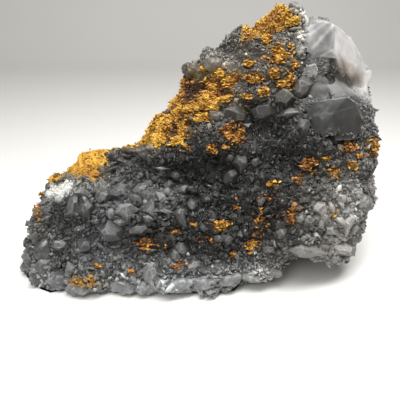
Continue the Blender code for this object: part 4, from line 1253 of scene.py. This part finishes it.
def calcite_planes():
    """Milkiness, planes, their depths from the middle, and the middle of each calcite block."""
    for milk, corners in CALCITE_BLOCKS:
        corners = in_front(corners)
        centre = corners.mean(0)
        yield milk, *hull_planes(corners - centre), centre


def melted(parts):
    """Closed bodies melted into one skin of even cells, as points and four-sided faces."""
    points, faces, _ = joined(parts)
    rough = bpy.data.meshes.new("rough")
    rough.from_pydata(points.tolist(), [], faces.tolist())
    obj = bpy.data.objects.new("rough", rough)
    bpy.context.scene.collection.objects.link(obj)
    remesh = obj.modifiers.new("melt", "REMESH")
    remesh.mode = "VOXEL"
    remesh.voxel_size = CALCITE_VOXEL
    smooth = obj.modifiers.new("soften", "SMOOTH")
    smooth.factor, smooth.iterations = SOFTENED
    bpy.context.view_layer.update()
    done = obj.evaluated_get(bpy.context.evaluated_depsgraph_get()).to_mesh()
    points = np.empty(len(done.vertices) * 3, np.float32)
    done.vertices.foreach_get("co", points)
    quads = np.empty(len(done.polygons) * 4, np.int32)
    done.polygons.foreach_get("vertices", quads)
    bpy.data.objects.remove(obj)
    bpy.data.meshes.remove(rough)
    return points.reshape(-1, 3).astype(float), quads.reshape(-1, 4)


def calcite_piece(material):
    """The calcite blocks melted into one body, with steps where their cleavage breaks off in layers."""
    rng = np.random.default_rng(CALCITE_SEED)
    blocks = list(calcite_planes())
    parts = []
    for _, normals, depths, centre in blocks:
        corners, faces, _, _ = gem(normals, depths, BLOCK_EDGE, 0.0, rng)
        parts.append(((centre + corners)[None], faces, {}))
    points, quads = melted(parts)
    milk, edge, total = np.zeros((3, len(points)))
    for white, normals, depths, centre in blocks:
        beyond = np.sort((points - centre) @ normals.T - depths, 1)
        near = np.exp(-abs(beyond[:, -1]) / SEAM) + TINY
        milk, total = milk + near * white, total + near
        edge += near * np.exp(-(beyond[:, -1] - beyond[:, -2]) / SEAM)
    milk, edge = milk / total, edge / total
    milk = milk + spots(points, MILK_SPOTS) + streaks(points, MILK_STREAKS)
    way = outward(points, quads)
    hidden = 1 - np.clip(-HIDDEN_SLOPE * way[:, 1] - HIDDEN_FROM, 0, 1)
    steps = sum(weight * crowded_points(points, cell, salt) for cell, weight, salt in STEPS)
    waves = WAVE_DEPTH * soft_noise(points, WAVE_SIZE, WAVE_SALT)
    points = points - way * ((STEPS_SEEN + STEPS_HIDDEN * hidden) * steps + waves)[:, None]
    piece("calcite_blocks", points, quads, material, "calcite", smooth=True, replaced=["calcite_mass"],
          milk=milk, edge=edge, stain=np.clip(spots(points, BROWN_SHADE_SPOTS), 0, 1))

    middle, face_milk = points[quads].mean(1), milk[quads].mean(1)
    cover = np.clip(spots(middle, CRUMB_SPOTS) + CRUMBS_HIDDEN * hidden[quads].mean(1), 0, 1)
    place, face = scattered(points, quads, CRUMBS, cover, rng)
    size = rng.uniform(*CRUMB_SIZES, (CRUMBS, 1)) * rng.uniform(*GRAIN_STRETCH, (CRUMBS, 3))
    axis = unit(CRUMB_UPRIGHT * way[quads[face]].mean(1) + rng.normal(size=(CRUMBS, 3)))
    crumbs, faces, rim = grown(place, turned_about(axis, rng), size, "chip", rng)
    milk = CRUMB_MILK[0] * face_milk[face] + CRUMB_MILK[1] + CRUMB_SPREAD * rng.normal(size=CRUMBS)
    whole, faces, values = joined([(crumbs, faces, {
        "milk": milk[:, None] + CRUMB_RIM * (rim - 0.5),
        "edge": 0.0,
        "stain": np.clip(spots(place, BROWN_SHADE_SPOTS), 0, 1)[:, None],
    })])
    piece("calcite_crumbs", whole, faces, material, "calcite", **values)


# Realgar


def slope_grid():
    """A grid of points over the upper slope: along the wedge's outline, from its peak to its left end, and
    across it from the show face to the back. Both ways it steps by about CRUST_STEP."""
    rim = np.array(OUTLINE[PEAK:LEFT_END + 1], float)
    length = np.concatenate([[0], np.cumsum(np.linalg.norm(np.diff(rim, axis=0), axis=1))])
    along = np.arange(0, length[-1], CRUST_STEP)
    rim = np.stack([np.interp(along, length, rim[:, k]) for k in (0, 1)], -1)
    over = np.linspace(*OVER_TOP) * np.pi
    share = abs(np.sin(over)) ** (2 / ROUNDNESS)
    v = -np.sign(np.cos(over)) * abs(np.cos(over)) ** (2 / ROUNDNESS)
    steps = np.hypot(np.diff(share) * TYPICAL_REACH, np.diff(v) * TYPICAL_HALF)
    way = np.concatenate([[0], np.cumsum(steps)])
    across = np.arange(0, way[-1], CRUST_STEP)
    share, v = np.interp(across, way, share), np.interp(across, way, v)
    x = OUTLINE_CENTRE[0] + (rim[:, :1] - OUTLINE_CENTRE[0]) * share
    z = OUTLINE_CENTRE[1] + (rim[:, 1:] - OUTLINE_CENTRE[1]) * share
    y = MIDDLE_AT_TABLE + LEAN * z + v * (HALF_AT_TABLE - TAPER * z)
    grid = np.stack([x, y, z], -1)
    normals = unit(np.cross(np.gradient(grid, axis=1), np.gradient(grid, axis=0)))
    rows, columns = grid.shape[:2]
    i, j = np.meshgrid(np.arange(rows - 1), np.arange(columns - 1), indexing="ij")
    corner = (i * columns + j).ravel()
    quads = np.stack([corner, corner + 1, corner + columns + 1, corner + columns], 1)
    return grid.reshape(-1, 3), normals.reshape(-1, 3), quads


def closed_sheet(upper, lower, faces):
    """A sheet of two layers with a wall round its rim."""
    count = len(upper)
    ends = np.concatenate([faces[:, [k, (k + 1) % 4]] for k in range(4)])
    code, back = ends[:, 0] * count + ends[:, 1], ends[:, 1] * count + ends[:, 0]
    rim = ends[~np.isin(back, code)]
    walls = np.stack([rim[:, 1], rim[:, 0], rim[:, 0] + count, rim[:, 1] + count], 1)
    return np.concatenate([upper, lower]), np.concatenate([faces, faces[:, ::-1] + count, walls])


def flakes(places, normals, size, stout, rust, bloom, rng, level):
    """Small bent blades on a surface. They point any way along it and lie flat on it; as level nears 1 they run
    along the level lines of the slope instead, like small shelves. They are paler on top and at their ends:
    painted light."""
    count = len(places)
    strike = unit(np.cross(normals, (0, 0, 1.0))) * rng.choice((-1.0, 1.0), (count, 1))
    lie = rng.normal(size=(count, 3)) * BLADE_WANDER
    axis = unit((1 - level) * lie + LEVEL_PULL * level * strike + BLADE_RISE * normals)
    any_thin = np.cross(axis, np.cross(axis, rng.normal(size=(count, 3))))
    thin = unit((1 - level) * any_thin + level * np.array([0, 0, LEVEL_PULL]))
    thin = unit(thin - axis * (thin * axis).sum(-1, keepdims=True))
    thin = np.where(thin[:, 2:] < 0, -thin, thin)
    frames = np.stack([thin, np.cross(axis, thin), axis], 1)
    length = size * rng.uniform(*BLADE_LENGTHS, count)
    thick, wide = (rng.uniform(*spread, count) * most for spread, most in zip(BLADE_SPREADS, stout))
    scale = length[:, None] * np.stack([thick, wide, np.ones(count)], -1)
    group, faces, _ = grown(places, frames, scale, "flake", rng, rng.uniform(-BLADE_BEND, BLADE_BEND, count))
    away = group - places[:, None]
    out = np.einsum("gvj,gj->gv", away, normals) / length[:, None]
    top = np.einsum("gvj,gj->gv", away, thin) / (length * thick)[:, None]
    # Painted light: paler on top and at the end of each blade.
    tips = np.reshape(bloom, (-1, 1)) + TOP_AND_END_LIGHT * (out + top) + BLOOM_SPREAD * rng.normal(size=(count, 1))
    return group, faces, {"bloom": np.clip(tips, 0, 1), "rust": np.clip(rust, 0, 1)[:, None]}


def crust_layers(base):
    """What shapes the crusts at each point of the slope, from 0 to 1, and their spots."""
    more = spots(base, BLOOM_AND_SHADE_SPOTS)
    wide, fine = (worms(base, size, salt) for size, salt in CRUST_WORMS)
    noises = {name: soft_noise(base, size, salt) for name, (size, salt) in CRUST_NOISES.items()}
    return {
        "flat": np.ones(len(base)),
        "ridges": WORM_SHARES[0] * wide + WORM_SHARES[1] * fine,
        "grit": crowded_points(base, *CRUST_GRIT),
        "holes": np.clip(HOLE_EDGE * (noises["pits"] - HOLE_LEVEL), 0, 1),
        "hollow": np.clip(-more, 0, 1),
        "redder": spots(base, RUST_SPOTS),
        "more": more,
        **noises,
    }


def weighed(weights, layers):
    """The sum of the layers that have a weight, each times its own."""
    return sum(weight * layers[name] for name, weight in weights.items())


def crust_pieces(material):
    """The three crusts: sheets of winding ridges over the matrix, thick inside and sunk under it at their rims,
    with blades standing on them."""
    base, normals, quads = slope_grid()
    over = normals @ (0, -math.cos(CRUST_VIEW), math.sin(CRUST_VIEW))
    base = dented(with_relief(base, normals, COARSE_RELIEF))
    everywhere = crust_layers(base)
    for number, (name, inside) in enumerate(crust_depth(base).items()):
        inside = np.minimum(inside, VIEW_SLOPE * over + VIEW_ROOM)
        kept = quads[(inside[quads] > CRUST_ENDS).all(1)]
        used, index = np.unique(kept, return_inverse=True)
        layers = {key: layer[used] for key, layer in everywhere.items()}
        inside, out = inside[used], normals[used]
        kind = CRUST_KINDS[name]
        body = np.clip((inside + 1) / RIM_WIDTH, *BODY_LIMITS)
        height = body * weighed(kind["height"], layers) + weighed(kind["level"], layers)
        bloom = weighed(kind["bloom"], layers)
        upper = base[used] + out * (height - CRUST_LOW)[:, None]
        sheet, sides = closed_sheet(upper, base[used] - out * CRUST_DEEP, index.reshape(-1, 4))
        short = name.replace("realgar_", "")
        piece(short, sheet, sides, material, "realgar", replaced=[name],
              bloom=np.tile(np.clip(bloom, 0, 1), 2), rust=np.tile(kind["rust"] + layers["redder"], 2))
        rng = np.random.default_rng(CRUST_SEED + number)
        crowd = np.clip(CLUMP_EDGE * (layers["clumps"] - CLUMP_LEVEL), 0.0, 1)
        weight = np.where(inside > BLADES_END, BLADES_BETWEEN + crowd, 0)
        weight = weight * np.clip(1 + BLOOM_BLADES * layers["more"], *BLADE_LIMITS)
        area, size, stout, level, lift = kind["blades"]
        count = int((weight > 0).sum() * CRUST_STEP**2 / area)
        pick = rng.choice(len(used), count, p=weight / weight.sum())
        picked = {key: layer[pick] for key, layer in layers.items()}
        rise = crowd[pick] * lift * rng.random(count)
        place = upper[pick] + out[pick] * (BLADE_LIFT + rise)[:, None]
        place = place + BLADE_SCATTER * rng.normal(size=(count, 3))
        rusts = BLADE_RUST + BLADE_RUST_SPREAD * rng.random(count) + weighed(BLADE_RUST_BY, picked)
        tips = weighed(BLADE_BLOOM_BY, picked) + BLADE_BLOOM_SPREAD * rng.normal(size=count)
        whole, faces, values = joined([flakes(place, out[pick], size, stout, rusts, tips, rng, level)])
        piece(short + "_flakes", whole, faces, material, "realgar", **values)


def realgar_patch(points, normals, at, patch, seed):
    """Realgar gathered on the show face round a place of the camera's frame: dark crumbs against the matrix, and
    paler leaves on them."""
    middle, half, count, rust = patch
    rng = np.random.default_rng(seed)
    away = np.hypot(*((at - middle) / half).T)
    facing = -(normals * unit(points - EYE)).sum(-1)
    ragged = np.clip(RAGGED_EDGE * (soft_noise(points, RAGGED_SIZE, seed) - RAGGED_LEVEL), RAGGED_LEAST, 1)
    near = (away < CLUSTER_ENDS) & (facing > LEAST_FACING)
    weight = np.where(near, ragged * np.exp(-CLUSTER_FALL * away**2), 0)
    parts = []
    for one_for, size, stout, lift, bloom in CLUSTER_LAYERS:
        number = count // one_for
        pick = rng.choice(len(points), number, p=weight / weight.sum())
        place = points[pick] + normals[pick] * rng.uniform(*lift, (number, 1))
        place = place + CLUSTER_SCATTER * rng.normal(size=(number, 3))
        rusts = rust + CLUSTER_RUST_SPREAD * rng.normal(size=number)
        parts.append(flakes(place, normals[pick], size, stout, rusts, bloom, rng, CLUSTER_LEVEL))
    return parts


def realgar_patches(points, quads, material):
    """The clusters of the show face, and the smaller specks between them."""
    normals = outward(points, quads)
    at = seen(points)
    for number, patch in enumerate(CLUSTERS):
        name = f"cluster_{number + 1:02d}"
        whole, faces, values = joined(realgar_patch(points, normals, at, patch, CLUSTER_SEED + number))
        piece(name, whole, faces, material, "realgar", replaced=[f"realgar_{name}"], **values)
    specks = []
    for number, patch in enumerate(SPECKS):
        specks += realgar_patch(points, normals, at, patch, SPECK_SEED + number)
    whole, faces, values = joined(specks)
    piece("realgar_specks", whole, faces, material, "realgar", **values)


# The studio, in metres

FLOOR_COLOUR, FLOOR_ROUGHNESS = (0.8, 0.79, 0.76, 1), 0.7
FLOOR_FRONT, FLOOR_BACK = -2.0, 1.2  # where the floor starts, and where it bends up
FLOOR_BEND, BEND_STEPS = 0.5, 13  # the radius of that bend, and the steps round it
FLOOR_WIDE, FLOOR_HIGH = 3.0, 2.5  # its half width, and how high it goes behind
# Each lamp: name, place, where it is aimed, width and height, power in watts
LAMPS = (
    ("lamp_above", (0.12, -0.2, 1.0), (0, 0, 0.1), (1.1, 0.4), 17),
    ("lamp_front", (-0.5, -0.9, 0.9), (0, 0, 0.1), (0.5, 0.5), 4),
)
SKY_COLOUR, SKY_STRENGTH = (1, 0.99, 0.97, 1), 0.36
CLIP_START = 0.01


def studio():
    """A pale floor that curves up behind, a large lamp above and a small one in front, soft light all round, and
    the camera."""
    scene = bpy.context.scene
    material, _, shader = new_material("floor")
    shader.inputs["Base Color"].default_value = FLOOR_COLOUR
    shader.inputs["Roughness"].default_value = FLOOR_ROUGHNESS
    turn = np.linspace(0, np.pi / 2, BEND_STEPS)
    y = np.concatenate([[FLOOR_FRONT], FLOOR_BACK + FLOOR_BEND * np.sin(turn), [FLOOR_BACK + FLOOR_BEND]])
    z = np.concatenate([[0], FLOOR_BEND - FLOOR_BEND * np.cos(turn), [FLOOR_HIGH]])
    rows = [(x, b, c) for b, c in zip(y, z) for x in (-FLOOR_WIDE, FLOOR_WIDE)]
    mesh = bpy.data.meshes.new("floor")
    mesh.from_pydata(rows, [], [(2 * k, 2 * k + 1, 2 * k + 3, 2 * k + 2) for k in range(len(y) - 1)])
    mesh.polygons.foreach_set("use_smooth", np.full(len(y) - 1, True))
    mesh.materials.append(material)
    floor = bpy.data.objects.new("floor", mesh)
    scene.collection.objects.link(floor)

    for name, place, aim, size, energy in LAMPS:
        data = bpy.data.lights.new(name, "AREA")
        data.shape = "RECTANGLE"
        data.size, data.size_y = size
        data.energy = energy
        lamp = bpy.data.objects.new(name, data)
        lamp.location = place
        lamp.rotation_euler = (Vector(aim) - Vector(place)).to_track_quat("-Z", "Y").to_euler()
        scene.collection.objects.link(lamp)

    world = bpy.data.worlds.new("studio")
    world.use_nodes = True
    world.node_tree.nodes["Background"].inputs["Color"].default_value = SKY_COLOUR
    world.node_tree.nodes["Background"].inputs["Strength"].default_value = SKY_STRENGTH
    scene.world = world
    scene.view_settings.view_transform = "Standard"

    data = bpy.data.cameras.new("camera")
    data.sensor_width = SENSOR
    data.lens = SENSOR * FOCAL_PX / FRAME_PX
    data.clip_start = CLIP_START
    camera = bpy.data.objects.new("camera", data)
    camera.location = (EYE + FRAME_SHIFT) * MM
    camera.rotation_euler = (math.pi / 2 - LOOK_DOWN, 0, 0)
    scene.collection.objects.link(camera)
    scene.camera = camera


def main():
    grey, crystal = matrix_material(), crystal_material()
    realgar, calcite = realgar_material(), calcite_material()
    points, quads = matrix_pieces(grey)
    tree = BVHTree.FromPolygons(points.tolist(), quads.tolist())
    show_crystals(tree, crystal)
    boulders(tree, crystal)
    calcite_piece(calcite)
    crust_pieces(realgar)
    realgar_patches(points, quads, realgar)
    studio()


main()
